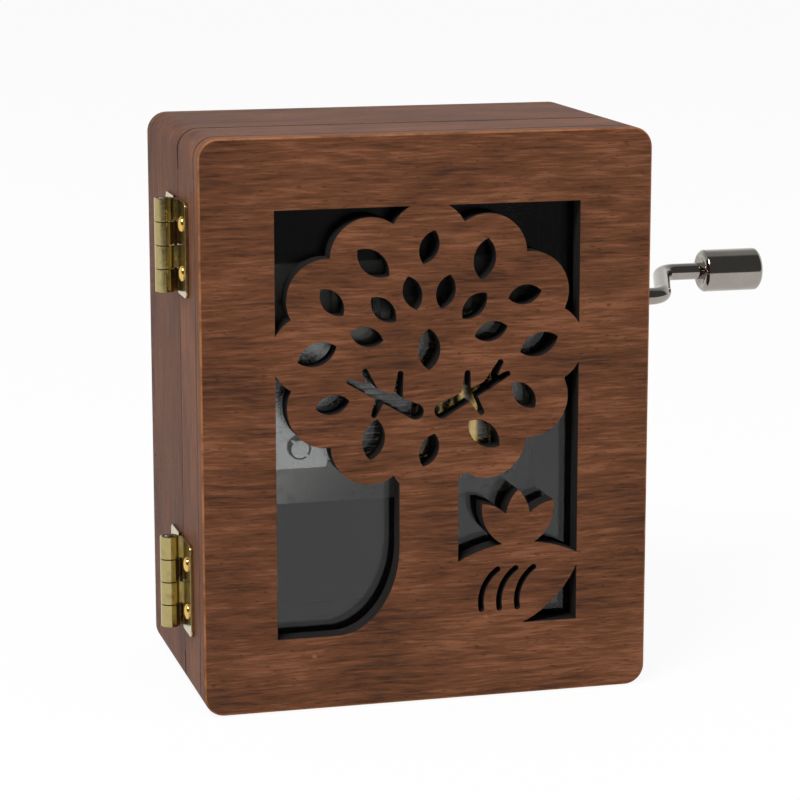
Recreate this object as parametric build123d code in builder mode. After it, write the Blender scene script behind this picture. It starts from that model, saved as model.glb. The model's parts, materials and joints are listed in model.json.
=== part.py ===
from build123d import *
from math import cos, pi, radians, sin
import os

# Hand-cranked comb-and-cylinder music box in a small case of stained wood. The case is cut
# into a deep body, which holds the movement, and a hinged front door with a fretwork panel.
# +X is the crank side, -Y the front and +Z up; the origin is the middle of the base.
# All lengths are in millimetres and all angles in degrees.

os.makedirs("parts", exist_ok=True)

# ---------------------------------------------------------------- case
box_width = 68.0  # hinge side to crank side
box_height = 85.0
door_depth = 15.2  # front door with its fretwork panel
body_depth = 26.0  # fixed part with its back panel
seam_gap = 0.3  # open line between door and body
corner_radius = 3.0  # the four long edges that run front to back
wall_thickness = 6.0
fret_thickness = 3.2
back_thickness = 3.2

box_depth = door_depth + seam_gap + body_depth
front_y = -box_depth / 2
fret_back_y = front_y + fret_thickness
door_back_y = front_y + door_depth
body_front_y = door_back_y + seam_gap
back_y = box_depth / 2
back_inner_y = back_y - back_thickness
side_x = box_width / 2
inner_x = side_x - wall_thickness
side_board_height = box_height - 2 * wall_thickness

# ---------------------------------------------------------------- window and fretwork
side_border = 11.0  # wood left and right of the window
bottom_border = 11.0
top_border = 10.5
pane_thickness = 2.0
pane_clearance = 0.1
crown_lobes = 12
lobe_radius = 6.0
crown_overlap = 0.7  # how far the crown runs into the window's frame
crown_clearance = 20.5  # from the window's lower edge to the crown's lowest lobe
trunk_width = 9.0
root_spread = 9.5  # how far the left root flares out along the ground
root_rise = 13.0  # height at which that flare starts
hill_height = 10.0  # where the ground on the right meets the trunk
hill_rise = 2.5  # how much higher the ground swells between trunk and frame
large_leaf_length = 6.2
large_leaf_width = 3.4
small_leaf_length = 5.2
small_leaf_width = 2.9
leaf_tilt = 20.0
shoot_length = 9.0  # solid leaves of the little plant on the hill
shoot_width = 3.8
shoot_fan = 38.0
shoot_sink = 0.95  # foot of the plant below the hill's crest
blade_width = 0.9  # pierced blades of grass in the hill
blade_height = 6.0
blade_pitch = 2.8
corner_opening = 8.5
corner_curve = 17.0  # radius of that opening's edge under the hill
outer_leaf_ring = 0.95  # rings of leaves, as a share of the ring of lobes
middle_leaf_ring = 0.55
middle_ring_step = 30
branch_reach = 12.0  # from the trunk's middle to the branch's tip
branch_drop = 9.2  # the fork, below the crown's middle
branch_rise = 5.0  # how much the branch climbs from its fork
fork_offset = 2.0
branch_width = 2.4  # at the fork
twig_width = 1.6  # where a twig leaves its branch
twig_tip_width = 0.9
left_twigs = ((0.28, 4.4, -6), (0.64, 3.4, 22), (0.52, 3.0, 158))
right_twigs = ((0.36, 3.6, 4), (0.70, 3.8, 30), (0.44, 3.2, 150))

window_width = box_width - 2 * side_border
window_height = box_height - top_border - bottom_border
window_right = window_width / 2
window_top = bottom_border + window_height

# ---------------------------------------------------------------- hinges
hinge_height = 14.0
hinge_inset = 17.0  # middle of each hinge from the top or the bottom of the case
hinge_knuckles = 4
knuckle_radius = 1.4
knuckle_gap = 0.15
knuckle_lift = 0.8  # barrel clear of the wood
leaf_plate_width = 7.8  # from the hinge line to the leaf's outer edge
leaf_corner_radius = 1.0
leaf_plate_thickness = 0.5
hinge_pin_radius = 0.7
hinge_pin_clearance = 0.05
nail_radius = 0.5
nail_head_radius = 1.2
nail_head_height = 0.5
nail_head_rounding = 0.45
nail_length = 4.0
nail_spacing = 7.2

hinge_x = -side_x - knuckle_radius - knuckle_lift
hinge_y = (door_back_y + body_front_y) / 2
hinge_middles = {"upper": box_height - hinge_inset, "lower": hinge_inset}
barrel_reach = knuckle_radius + knuckle_gap
nail_offset = (barrel_reach + leaf_plate_width) / 2  # from the hinge line
knuckle_pitch = hinge_height / hinge_knuckles

# ---------------------------------------------------------------- magnets
magnet_radius = 2.0
magnet_thickness = 2.0
magnet_height = box_height / 2

# ---------------------------------------------------------------- crank and worm gear
crank_height = 54.8
crank_from_back = 9.55  # shaft axis from the back panel's inner face
bed_side_gap = 1.5  # bedplate clear of the crank-side wall
wire_radius = 1.35
bearing_clearance = 0.05
wall_hole_radius = 2.0
wheel_teeth = 20
gear_module = 0.55
worm_pitch_radius = 2.4
gear_addendum = 0.4
gear_dedendum = 0.5
tooth_share = 0.34  # thickness of a tooth or thread, as a share of the pitch
flank_slope = 0.2  # how fast each flank leans in, per millimetre of height
wheel_thickness = 2.4
worm_turns = 4
worm_end_play = 0.3
post_spacing = 16.0  # between the two posts that carry the shaft

crank_y = back_inner_y - crank_from_back
wheel_pitch_radius = gear_module * wheel_teeth / 2
wheel_tip_radius = wheel_pitch_radius + gear_addendum
wheel_root_radius = wheel_pitch_radius - gear_dedendum
worm_lead = pi * gear_module
worm_tip_radius = worm_pitch_radius + gear_addendum
worm_root_radius = worm_pitch_radius - gear_dedendum
tooth_thickness = tooth_share * worm_lead

# ---------------------------------------------------------------- cylinder
cylinder_inset = 16.5  # cylinder's axis from the bedplate's crank-side edge
drum_radius = 6.4
drum_length = 19.0
drum_wall = 0.6
drum_clearance = 0.6  # between the drum's end and the worm
end_plug_thickness = 2.0
arbor_radius = 0.9
pin_radius = 0.22
pin_height = 0.8
pins_per_note = 4
note_turn = 97  # from the first pin of one note to that of the next
pin_drift = 11  # how the pins of one note stray from even spacing
notes = 18
note_pitch = 1.0
hub_radius = 2.2
plug_hub_length = 0.8
end_float = 0.3  # between hub and bearing plate
arbor_overhang = 0.8  # beyond each bearing plate

bed_right_x = inner_x - bed_side_gap
cylinder_x = bed_right_x - cylinder_inset
cylinder_y = crank_y - worm_pitch_radius - wheel_pitch_radius
drum_top_z = crank_height - worm_tip_radius - drum_clearance
drum_bottom_z = drum_top_z - drum_length
drum_middle_z = (drum_top_z + drum_bottom_z) / 2
pin_tip_radius = drum_radius + pin_height
pin_step = 360 / pins_per_note

# ---------------------------------------------------------------- bedplate, bearings and comb
bed_thickness = 2.0
bed_width = 47.5
bed_height = 38.5
bed_above_crank = 6.5  # plate's upper edge over the crank shaft
bed_corner_radius = 2.5
bearing_thickness = 1.5
bearing_width = 7.0
bearing_foot = 5.8
post_width = 6.4
post_thickness = 3.0
post_foot = 5.4
screw_radius = 0.9
screw_clearance = 0.1
screw_head_radius = 1.8
screw_head_height = 1.1
screw_slot_width = 0.45
screw_slot_depth = 0.5
screw_grip = 1.6  # thread that enters the metal below
fixing_inset = 3.6  # bedplate's fixing screws from its edges
fixing_head_radius = 2.6
comb_thickness = 1.0
comb_tooth_thickness = 0.6
comb_gap = 0.2  # tooth tips clear of the pins
comb_tooth_width = 0.72
comb_base_width = 8.5
comb_margin = 1.3  # plate beyond the first and the last tooth
short_tooth_length = 9.5
long_tooth_length = 13.5
seat_inset = 0.8
weighted_notes = 7
weight_length = 3.0
weight_height = 1.5
weight_inset = 0.6

bed_face_y = back_inner_y - bed_thickness
bed_left_x = bed_right_x - bed_width
bed_top_z = crank_height + bed_above_crank
bed_bottom_z = bed_top_z - bed_height
comb_seat_y = cylinder_y + comb_thickness / 2  # underside of the comb
comb_front_y = comb_seat_y - comb_thickness
comb_tooth_y = cylinder_y + comb_tooth_thickness / 2  # underside of the teeth
comb_tip_x = cylinder_x - pin_tip_radius - comb_gap
comb_left_x = comb_tip_x - long_tooth_length - comb_base_width
first_note_z = drum_middle_z - note_pitch * (notes - 1) / 2
last_note_z = drum_middle_z + note_pitch * (notes - 1) / 2
comb_bottom_z = first_note_z - comb_margin
comb_top_z = last_note_z + comb_margin
lower_bearing_top_z = drum_bottom_z - plug_hub_length - end_float
upper_bearing_bottom_z = crank_height + worm_tip_radius + drum_clearance
inner_post_x = cylinder_x - post_spacing / 2  # faces of the posts that the worm turns between
outer_post_x = cylinder_x + post_spacing / 2

# ---------------------------------------------------------------- crank arm and knob
crank_reach = 12.6  # from the case's side to the bend of the shaft
arm_back = 12.0  # from the shaft to the knob, towards the back
arm_rise = 1.8
arm_splay = 3.9
bend_radius = 2.9
knob_radius = 3.45
knob_length = 9.9
knob_start = 23.3  # from the case's side to the knob
knob_end_wall = 2.0
knob_chamfer = 0.5
knob_dish_radius = 2.6
knob_dish_depth = 0.8

bend_x = side_x + crank_reach
knob_y = crank_y + arm_back
knob_z = crank_height + arm_rise
knob_x = side_x + knob_start


def front_plane(y):
    """Upright plane at depth y, drawn as seen from the front: local x is X, local y is Z."""
    return Plane.XZ.offset(-y)


def side_plane(x):
    """Upright plane at x, drawn as seen from the crank side: local x is Y, local y is Z."""
    return Plane.YZ.offset(x)


# ================================================================ fretwork panel
def almond(length, width):
    """Leaf outline with its tips on the local x axis, from two equal arcs."""
    bulge = width / 2
    with BuildSketch() as leaf:
        with BuildLine():
            ThreePointArc((-length / 2, 0), (0, bulge), (length / 2, 0))
            ThreePointArc((length / 2, 0), (0, -bulge), (-length / 2, 0))
        make_face()
    return leaf.sketch


# The crown is an ellipse with a ring of round lobes. It fills the window's upper part and
# runs into the frame at the top and on both sides, which is what holds it.
crown_top = window_top + crown_overlap
crown_bottom = bottom_border + crown_clearance
crown_middle = (crown_top + crown_bottom) / 2
crown_x_radius = window_right + crown_overlap - lobe_radius
crown_z_radius = (crown_top - crown_bottom) / 2 - lobe_radius
lobe_step = 360 / crown_lobes
trunk_left = -trunk_width / 2
trunk_right = trunk_width / 2
root_tip = trunk_left - root_spread
root_top = bottom_border + root_rise
hill_top = bottom_border + hill_height
hill_middle_x = (trunk_right + window_right) / 2
hill_edge_x = window_right + crown_overlap
ground_z = bottom_border - crown_overlap
large_leaf = almond(large_leaf_length, large_leaf_width)
small_leaf = almond(small_leaf_length, small_leaf_width)
shoot_shape = almond(shoot_length, shoot_width)


def crown_point(angle, share):
    """Point in the crown, at a share of the way from its middle to the ring of lobes."""
    x = share * crown_x_radius * cos(radians(angle))
    z = crown_middle + share * crown_z_radius * sin(radians(angle))
    return x, z


with BuildSketch() as tree:
    with Locations((0, crown_middle)):
        Ellipse(crown_x_radius, crown_z_radius)
    for lobe in range(crown_lobes):
        with Locations(crown_point(lobe * lobe_step, 1)):
            Circle(lobe_radius)
    # Trunk with a root that flares to the left, and a low hill to its right.
    with BuildLine():
        Line((trunk_left, crown_middle), (trunk_left, root_top))
        EllipticalCenterArc((root_tip, root_top), root_spread, root_rise, arc_size=-90)
        Polyline(
            (root_tip, bottom_border),
            (root_tip, ground_z),
            (hill_edge_x, ground_z),
            (hill_edge_x, hill_top),
        )
        ThreePointArc(
            (hill_edge_x, hill_top),
            (hill_middle_x, hill_top + hill_rise),
            (trunk_right, hill_top),
        )
        Polyline((trunk_right, hill_top), (trunk_right, crown_middle), (trunk_left, crown_middle))
    make_face()
    # A young plant of three leaves stands on the hill.
    for lean in (-shoot_fan, 0, shoot_fan):
        shoot_x = hill_middle_x + shoot_length / 2 * sin(radians(lean))
        shoot_z = hill_top + hill_rise - shoot_sink + shoot_length / 2 * cos(radians(lean))
        with Locations(Location((shoot_x, shoot_z, 0), 90 - lean)):
            add(shoot_shape)

with BuildSketch() as leaf_piercings:
    # Outer ring, one leaf in each lobe, tilted to alternate sides.
    for lobe in range(crown_lobes):
        angle = lobe * lobe_step
        x, z = crown_point(angle, outer_leaf_ring)
        with Locations(Location((x, z, 0), angle + leaf_tilt * (-1) ** lobe)):
            add(small_leaf if lobe % 2 else large_leaf)
    # Middle ring over the branches, and one leaf at the crown's middle.
    for angle in range(middle_ring_step // 2, 180, middle_ring_step):
        x, z = crown_point(angle, middle_leaf_ring)
        with Locations(Location((x, z, 0), angle)):
            add(small_leaf)
    with Locations(Location((0, crown_middle, 0), 90)):
        add(large_leaf)


def limb(start, end, start_width, end_width):
    """Outline of a branch or twig that narrows from start to end, with round ends."""
    with BuildSketch() as outline:
        with Locations(start):
            Circle(start_width / 2)
        with Locations(end):
            Circle(end_width / 2)
        make_hull()
    return outline.sketch


with BuildSketch() as branch_piercings:
    # Each branch climbs outward from the trunk's head. A twig is given by its place along
    # the branch, its length, and its lean outward from straight up.
    fork_z = crown_middle - branch_drop
    for side, twigs in ((-1, left_twigs), (1, right_twigs)):
        fork = (side * fork_offset, fork_z)
        tip = (side * branch_reach, fork_z + branch_rise)
        add(limb(fork, tip, branch_width, twig_tip_width))
        for share, length, lean in twigs:
            foot_x = fork_offset + share * (branch_reach - fork_offset)
            foot_z = fork_z + share * branch_rise
            end_x = foot_x + length * sin(radians(lean))
            end_z = foot_z + length * cos(radians(lean))
            add(limb((side * foot_x, foot_z), (side * end_x, end_z), twig_width, twig_tip_width))

with BuildSketch() as hill_piercings:
    # Three bent blades of grass under the plant.
    for blade in (-1, 0, 1):
        foot_x = hill_middle_x - blade_pitch + blade * blade_pitch
        foot_z = bottom_border + hill_rise
        with BuildLine(mode=Mode.PRIVATE) as blade_line:
            RadiusArc((foot_x, foot_z), (foot_x + hill_rise, foot_z + blade_height), blade_height)
        SlotArc(blade_line.edge(), blade_width)
    # Opening in the window's lower right corner, under the foot of the hill.
    corner = (window_right, bottom_border)
    with BuildLine():
        Polyline(
            (window_right - corner_opening, bottom_border),
            corner,
            (window_right, bottom_border + corner_opening),
        )
        RadiusArc(
            (window_right, bottom_border + corner_opening),
            (window_right - corner_opening, bottom_border),
            corner_curve,
        )
    make_face()

with BuildPart() as fret_panel:
    with BuildSketch(front_plane(fret_back_y)):
        with Locations((0, box_height / 2)):
            RectangleRounded(box_width, box_height, corner_radius)
        with Locations((0, (bottom_border + window_top) / 2)):
            Rectangle(window_width, window_height, mode=Mode.SUBTRACT)
    extrude(amount=fret_thickness)
    with BuildSketch(front_plane(fret_back_y)):
        with Locations((0, (bottom_border + window_top) / 2)):
            Rectangle(window_width + crown_overlap, window_height + crown_overlap)
        add(tree.sketch, mode=Mode.INTERSECT)
        add(leaf_piercings.sketch, mode=Mode.SUBTRACT)
        add(branch_piercings.sketch, mode=Mode.SUBTRACT)
        add(hill_piercings.sketch, mode=Mode.SUBTRACT)
    extrude(amount=fret_thickness)
fret_panel.part.label = "fret_panel"
export_step(fret_panel.part, "parts/fret_panel.step")

# Clear acrylic pane, glued to the back of the fretwork inside the door's frame.
with BuildPart() as window_pane:
    with BuildSketch(front_plane(fret_back_y + pane_thickness)):
        with Locations((0, box_height / 2)):
            Rectangle(2 * (inner_x - pane_clearance), side_board_height - 2 * pane_clearance)
    extrude(amount=pane_thickness)
window_pane.part.label = "window_pane"
export_step(window_pane.part, "parts/window_pane.step")


# ================================================================ boards of door and body
def end_board(plane_y, depth, at_top):
    """Full-width top or bottom board with its two outer corners rounded."""
    middle_z = wall_thickness / 2
    if at_top:
        middle_z = box_height - wall_thickness / 2
    with BuildPart() as board:
        with BuildSketch(front_plane(plane_y)) as profile:
            with Locations((0, middle_z)):
                Rectangle(box_width, wall_thickness)
            outer_corners = profile.vertices().group_by(Axis.Y)[-1 if at_top else 0]
            fillet(outer_corners, corner_radius)
        extrude(amount=depth)
    return board


def side_board(plane_y, depth, side):
    """Board between the top and the bottom board, on the hinge side (-1) or crank side (1)."""
    with BuildPart() as board:
        with BuildSketch(front_plane(plane_y)):
            with Locations((side * (side_x - wall_thickness / 2), box_height / 2)):
                Rectangle(wall_thickness, side_board_height)
        extrude(amount=depth)
    return board


def nail_places(leaf_side):
    """Depth and height of the four nails in the door's leaves (-1) or the body's (1)."""
    nail_y = hinge_y + leaf_side * nail_offset
    return [
        (nail_y, middle_z + nail_side * nail_spacing / 2)
        for middle_z in hinge_middles.values()
        for nail_side in (-1, 1)
    ]


def nail_holes(leaf_side):
    """Sketch of the holes that the hinge nails leave in the wood."""
    with BuildSketch(side_plane(-side_x)) as holes:
        with Locations(*nail_places(leaf_side)):
            Circle(nail_radius)
    return holes.sketch


door_frame_depth = door_back_y - fret_back_y
body_frame_depth = back_inner_y - body_front_y

door_top_rail = end_board(door_back_y, door_frame_depth, at_top=True)
door_top_rail.part.label = "door_top_rail"
export_step(door_top_rail.part, "parts/door_top_rail.step")

door_bottom_rail = end_board(door_back_y, door_frame_depth, at_top=False)
door_bottom_rail.part.label = "door_bottom_rail"
export_step(door_bottom_rail.part, "parts/door_bottom_rail.step")

with BuildPart() as door_hinge_stile:
    add(side_board(door_back_y, door_frame_depth, side=-1).part)
    extrude(nail_holes(-1), amount=nail_length, mode=Mode.SUBTRACT)
door_hinge_stile.part.label = "door_hinge_stile"
export_step(door_hinge_stile.part, "parts/door_hinge_stile.step")

with BuildPart() as door_latch_stile:
    add(side_board(door_back_y, door_frame_depth, side=1).part)
    with BuildSketch(front_plane(door_back_y)):
        with Locations((side_x - wall_thickness / 2, magnet_height)):
            Circle(magnet_radius)
    extrude(amount=magnet_thickness, mode=Mode.SUBTRACT)
door_latch_stile.part.label = "door_latch_stile"
export_step(door_latch_stile.part, "parts/door_latch_stile.step")

body_top_wall = end_board(back_inner_y, body_frame_depth, at_top=True)
body_top_wall.part.label = "body_top_wall"
export_step(body_top_wall.part, "parts/body_top_wall.step")

body_bottom_wall = end_board(back_inner_y, body_frame_depth, at_top=False)
body_bottom_wall.part.label = "body_bottom_wall"
export_step(body_bottom_wall.part, "parts/body_bottom_wall.step")

with BuildPart() as body_left_wall:
    add(side_board(back_inner_y, body_frame_depth, side=-1).part)
    extrude(nail_holes(1), amount=nail_length, mode=Mode.SUBTRACT)
body_left_wall.part.label = "body_left_wall"
export_step(body_left_wall.part, "parts/body_left_wall.step")

with BuildPart() as body_right_wall:
    add(side_board(back_inner_y, body_frame_depth, side=1).part)
    with BuildSketch(front_plane(body_front_y)):
        with Locations((side_x - wall_thickness / 2, magnet_height)):
            Circle(magnet_radius)
    extrude(amount=-magnet_thickness, mode=Mode.SUBTRACT)
    with BuildSketch(side_plane(inner_x)):
        with Locations((crank_y, crank_height)):
            Circle(wall_hole_radius)
    extrude(amount=wall_thickness, mode=Mode.SUBTRACT)
body_right_wall.part.label = "body_right_wall"
export_step(body_right_wall.part, "parts/body_right_wall.step")

# Flat disc magnets, flush in the facing edges of door and body.
with BuildPart() as door_magnet:
    with BuildSketch(front_plane(door_back_y)):
        with Locations((side_x - wall_thickness / 2, magnet_height)):
            Circle(magnet_radius)
    extrude(amount=magnet_thickness)
door_magnet.part.label = "door_magnet"
export_step(door_magnet.part, "parts/door_magnet.step")

with BuildPart() as body_magnet:
    with BuildSketch(front_plane(body_front_y)):
        with Locations((side_x - wall_thickness / 2, magnet_height)):
            Circle(magnet_radius)
    extrude(amount=-magnet_thickness)
body_magnet.part.label = "body_magnet"
export_step(body_magnet.part, "parts/body_magnet.step")


# ================================================================ hinges
def hinge_leaf(middle_z, leaf_side):
    """Pressed leaf: a flat plate on the case's side, bent out under its rolled knuckles."""
    bottom_z = middle_z - hinge_height / 2
    bore_radius = hinge_pin_radius
    first_knuckle = 0
    if leaf_side < 0:
        bore_radius = hinge_pin_radius + hinge_pin_clearance
        first_knuckle = 1
    plate_x = -side_x - leaf_plate_thickness / 2
    plate_y = hinge_y + leaf_side * nail_offset
    neck_y = hinge_y + leaf_side * leaf_plate_thickness / 2
    with BuildPart() as leaf:
        with BuildSketch(side_plane(-side_x)) as plate:
            with Locations((plate_y, middle_z)):
                Rectangle(leaf_plate_width - barrel_reach, hinge_height)
            outer_corners = plate.vertices().group_by(Axis.X)[-1 if leaf_side > 0 else 0]
            fillet(outer_corners, leaf_corner_radius)
        extrude(amount=-leaf_plate_thickness)
        for knuckle in range(first_knuckle, hinge_knuckles, 2):
            knuckle_z = bottom_z + knuckle * knuckle_pitch + knuckle_gap / 2
            with BuildSketch(Plane.XY.offset(knuckle_z)):
                with Locations((hinge_x, hinge_y)):
                    Circle(knuckle_radius)
                with Locations(((hinge_x - side_x) / 2, neck_y)):
                    Rectangle(-side_x - hinge_x, leaf_plate_thickness)
                with Locations((plate_x, (neck_y + plate_y) / 2)):
                    Rectangle(leaf_plate_thickness, abs(plate_y - neck_y))
            extrude(amount=knuckle_pitch - knuckle_gap)
        with BuildSketch(Plane.XY.offset(bottom_z)):
            with Locations((hinge_x, hinge_y)):
                Circle(bore_radius)
        extrude(amount=hinge_height, mode=Mode.SUBTRACT)
        with BuildSketch(side_plane(-side_x)):
            with Locations(*nail_places(leaf_side)):
                Circle(nail_radius)
        extrude(amount=-leaf_plate_thickness, mode=Mode.SUBTRACT)
    return leaf


def hinge_pin(middle_z):
    """Plain wire pin through all knuckles of one hinge."""
    with BuildPart() as pin:
        with BuildSketch(Plane.XY.offset(middle_z - hinge_height / 2)):
            with Locations((hinge_x, hinge_y)):
                Circle(hinge_pin_radius)
        extrude(amount=hinge_height)
    return pin


def hinge_nails(leaf_side):
    """Four round-headed nails, driven through the leaves into the wood."""
    head_x = -side_x - leaf_plate_thickness
    with BuildPart() as nails:
        with BuildSketch(side_plane(head_x)):
            with Locations(*nail_places(leaf_side)):
                Circle(nail_radius)
        extrude(amount=leaf_plate_thickness + nail_length)
        with BuildSketch(side_plane(head_x)):
            with Locations(*nail_places(leaf_side)):
                Circle(nail_head_radius)
        extrude(amount=-nail_head_height)
        rims = nails.edges().filter_by(GeomType.CIRCLE).group_by(Axis.X)[0]
        fillet(rims, nail_head_rounding)
    return nails


for end, middle_z in hinge_middles.items():
    door_leaf = hinge_leaf(middle_z, leaf_side=-1)
    door_leaf.part.label = f"{end}_hinge_door_leaf"
    export_step(door_leaf.part, f"parts/{end}_hinge_door_leaf.step")

    body_leaf = hinge_leaf(middle_z, leaf_side=1)
    body_leaf.part.label = f"{end}_hinge_body_leaf"
    export_step(body_leaf.part, f"parts/{end}_hinge_body_leaf.step")

    pin = hinge_pin(middle_z)
    pin.part.label = f"{end}_hinge_pin"
    export_step(pin.part, f"parts/{end}_hinge_pin.step")

door_hinge_nails = hinge_nails(leaf_side=-1)
door_hinge_nails.part.label = "door_hinge_nails"
export_step(door_hinge_nails.part, "parts/door_hinge_nails.step")

body_hinge_nails = hinge_nails(leaf_side=1)
body_hinge_nails.part.label = "body_hinge_nails"
export_step(body_hinge_nails.part, "parts/body_hinge_nails.step")


# ================================================================ screws
def pan_screw(shank_length):
    """Slotted pan-head screw, standing on its head's underside, with the head up."""
    with BuildPart() as screw:
        with BuildSketch():
            Circle(screw_head_radius)
        extrude(amount=screw_head_height)
        fillet(screw.edges().group_by(Axis.Z)[-1], screw_head_height / 2)
        with BuildSketch(Plane.XY.offset(screw_head_height)):
            Rectangle(2 * screw_head_radius, screw_slot_width)
        extrude(amount=-screw_slot_depth, mode=Mode.SUBTRACT)
        with BuildSketch():
            Circle(screw_radius)
        extrude(amount=-shank_length)
    return screw.part


def countersunk_screw(shank_length):
    """Slotted countersunk screw, with the top of its head at height 0."""
    cone_depth = fixing_head_radius - screw_radius
    with BuildPart() as screw:
        with BuildSketch(Plane.XZ):
            with BuildLine():
                Polyline(
                    (0, 0),
                    (fixing_head_radius, 0),
                    (screw_radius, -cone_depth),
                    (screw_radius, -shank_length),
                    (0, -shank_length),
                    close=True,
                )
            make_face()
        revolve(axis=Axis.Z)
        with BuildSketch():
            Rectangle(2 * fixing_head_radius, screw_slot_width)
        extrude(amount=-screw_slot_depth, mode=Mode.SUBTRACT)
    return screw.part


# ================================================================ back panel and bedplate
rear_plane = Plane(origin=(0, back_y, 0), x_dir=(-1, 0, 0), z_dir=(0, 1, 0))
fixing_places = [
    (x, z)
    for x in (bed_left_x + fixing_inset, bed_right_x - fixing_inset)
    for z in (bed_bottom_z + fixing_inset, bed_top_z - fixing_inset)
]
rear_fixing_places = [(-x, z) for x, z in fixing_places]
comb_screw_x = comb_left_x + comb_base_width / 2
comb_screw_places = [
    (comb_screw_x, drum_middle_z + row * (comb_top_z - comb_bottom_z) / 3) for row in (-1, 1)
]
upper_foot_bottom_z = upper_bearing_bottom_z - bearing_foot
lower_foot_bottom_z = lower_bearing_top_z - bearing_thickness - bearing_foot
bearing_screw_places = [
    (cylinder_x, upper_foot_bottom_z + bearing_foot / 2),
    (cylinder_x, lower_foot_bottom_z + bearing_foot / 2),
]
post_screw_places = [
    (inner_post_x - post_thickness - post_foot / 2, crank_height),
    (outer_post_x + post_thickness + post_foot / 2, crank_height),
]

with BuildPart() as back_panel:
    with BuildSketch(front_plane(back_y)):
        with Locations((0, box_height / 2)):
            RectangleRounded(box_width, box_height, corner_radius)
    extrude(amount=back_thickness)
    with Locations(rear_plane):
        with Locations(*rear_fixing_places):
            CounterSinkHole(screw_radius + screw_clearance, fixing_head_radius + screw_clearance)
back_panel.part.label = "back_panel"
export_step(back_panel.part, "parts/back_panel.step")

# Die-cast plate with a raised seat for the comb.
with BuildPart() as bedplate:
    with BuildSketch(front_plane(back_inner_y)):
        with Locations(((bed_left_x + bed_right_x) / 2, (bed_bottom_z + bed_top_z) / 2)):
            RectangleRounded(bed_width, bed_height, bed_corner_radius)
    extrude(amount=bed_thickness)
    with BuildSketch(front_plane(bed_face_y)):
        with Locations((comb_screw_x, drum_middle_z)):
            Rectangle(
                comb_base_width - 2 * seat_inset,
                comb_top_z - comb_bottom_z - 2 * seat_inset,
            )
    extrude(amount=bed_face_y - comb_seat_y)
    with BuildSketch(front_plane(comb_seat_y)):
        with Locations(*comb_screw_places):
            Circle(screw_radius)
    extrude(amount=-2 * screw_grip, mode=Mode.SUBTRACT)
    with BuildSketch(front_plane(bed_face_y)):
        with Locations(*bearing_screw_places, *post_screw_places):
            Circle(screw_radius)
    extrude(amount=-screw_grip, mode=Mode.SUBTRACT)
    with BuildSketch(front_plane(back_inner_y)):
        with Locations(*fixing_places):
            Circle(screw_radius)
    extrude(amount=bed_thickness, mode=Mode.SUBTRACT)
bedplate.part.label = "bedplate"
export_step(bedplate.part, "parts/bedplate.step")

with BuildPart(rear_plane) as movement_screws:
    with Locations(*rear_fixing_places):
        add(countersunk_screw(back_thickness + bed_thickness))
movement_screws.part.label = "movement_screws"
export_step(movement_screws.part, "parts/movement_screws.step")


# ================================================================ comb
def tooth_length(note):
    """Length of a tooth, from the long low notes at the bottom to the short high ones."""
    share = note / (notes - 1)
    return long_tooth_length + share * (short_tooth_length - long_tooth_length)


with BuildPart() as comb:
    with BuildSketch(front_plane(comb_seat_y)):
        with BuildLine():
            Polyline(
                (comb_left_x, comb_bottom_z),
                (comb_tip_x - long_tooth_length, comb_bottom_z),
                (comb_tip_x - short_tooth_length, comb_top_z),
                (comb_left_x, comb_top_z),
                close=True,
            )
        make_face()
    extrude(amount=comb_thickness)
    with BuildSketch(front_plane(comb_tooth_y)):
        for note in range(notes):
            with Locations((comb_tip_x, first_note_z + note * note_pitch)):
                Rectangle(
                    tooth_length(note) + comb_thickness,
                    comb_tooth_width,
                    align=(Align.MAX, Align.CENTER),
                )
    extrude(amount=comb_tooth_thickness)
    with BuildSketch(front_plane(comb_seat_y)):
        with Locations(*comb_screw_places):
            Circle(screw_radius + screw_clearance)
    extrude(amount=comb_thickness, mode=Mode.SUBTRACT)
comb.part.label = "comb"
export_step(comb.part, "parts/comb.step")

# Lead blocks under the ends of the lowest teeth.
with BuildPart() as comb_weights:
    with BuildSketch(front_plane(comb_tooth_y)):
        for note in range(weighted_notes):
            with Locations((comb_tip_x - weight_inset, first_note_z + note * note_pitch)):
                Rectangle(weight_length, comb_tooth_width, align=(Align.MAX, Align.CENTER))
    extrude(amount=-weight_height)
comb_weights.part.label = "comb_weights"
export_step(comb_weights.part, "parts/comb_weights.step")

with BuildPart(front_plane(comb_front_y)) as comb_screws:
    with Locations(*comb_screw_places):
        add(pan_screw(comb_thickness + screw_grip))
comb_screws.part.label = "comb_screws"
export_step(comb_screws.part, "parts/comb_screws.step")


# ================================================================ bearings
def cylinder_bearing(plate_bottom_z, foot_bottom_z, foot_screw_place):
    """Bent steel bracket: a plate with the arbor's bore, and a foot on the bedplate."""
    with BuildPart() as bearing:
        with BuildSketch(Plane.XY.offset(plate_bottom_z)):
            with Locations((cylinder_x, (cylinder_y + bed_face_y) / 2)):
                Rectangle(bearing_width, bed_face_y - cylinder_y)
            with Locations((cylinder_x, cylinder_y)):
                Circle(bearing_width / 2)
                Circle(arbor_radius + bearing_clearance, mode=Mode.SUBTRACT)
        extrude(amount=bearing_thickness)
        with BuildSketch(front_plane(bed_face_y)):
            with Locations((cylinder_x, foot_bottom_z + bearing_foot / 2)):
                Rectangle(bearing_width, bearing_foot)
            with Locations(foot_screw_place):
                Circle(screw_radius + screw_clearance, mode=Mode.SUBTRACT)
        extrude(amount=bearing_thickness)
    return bearing


upper_cylinder_bearing = cylinder_bearing(
    upper_bearing_bottom_z, upper_foot_bottom_z, bearing_screw_places[0]
)
upper_cylinder_bearing.part.label = "upper_cylinder_bearing"
export_step(upper_cylinder_bearing.part, "parts/upper_cylinder_bearing.step")

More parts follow.
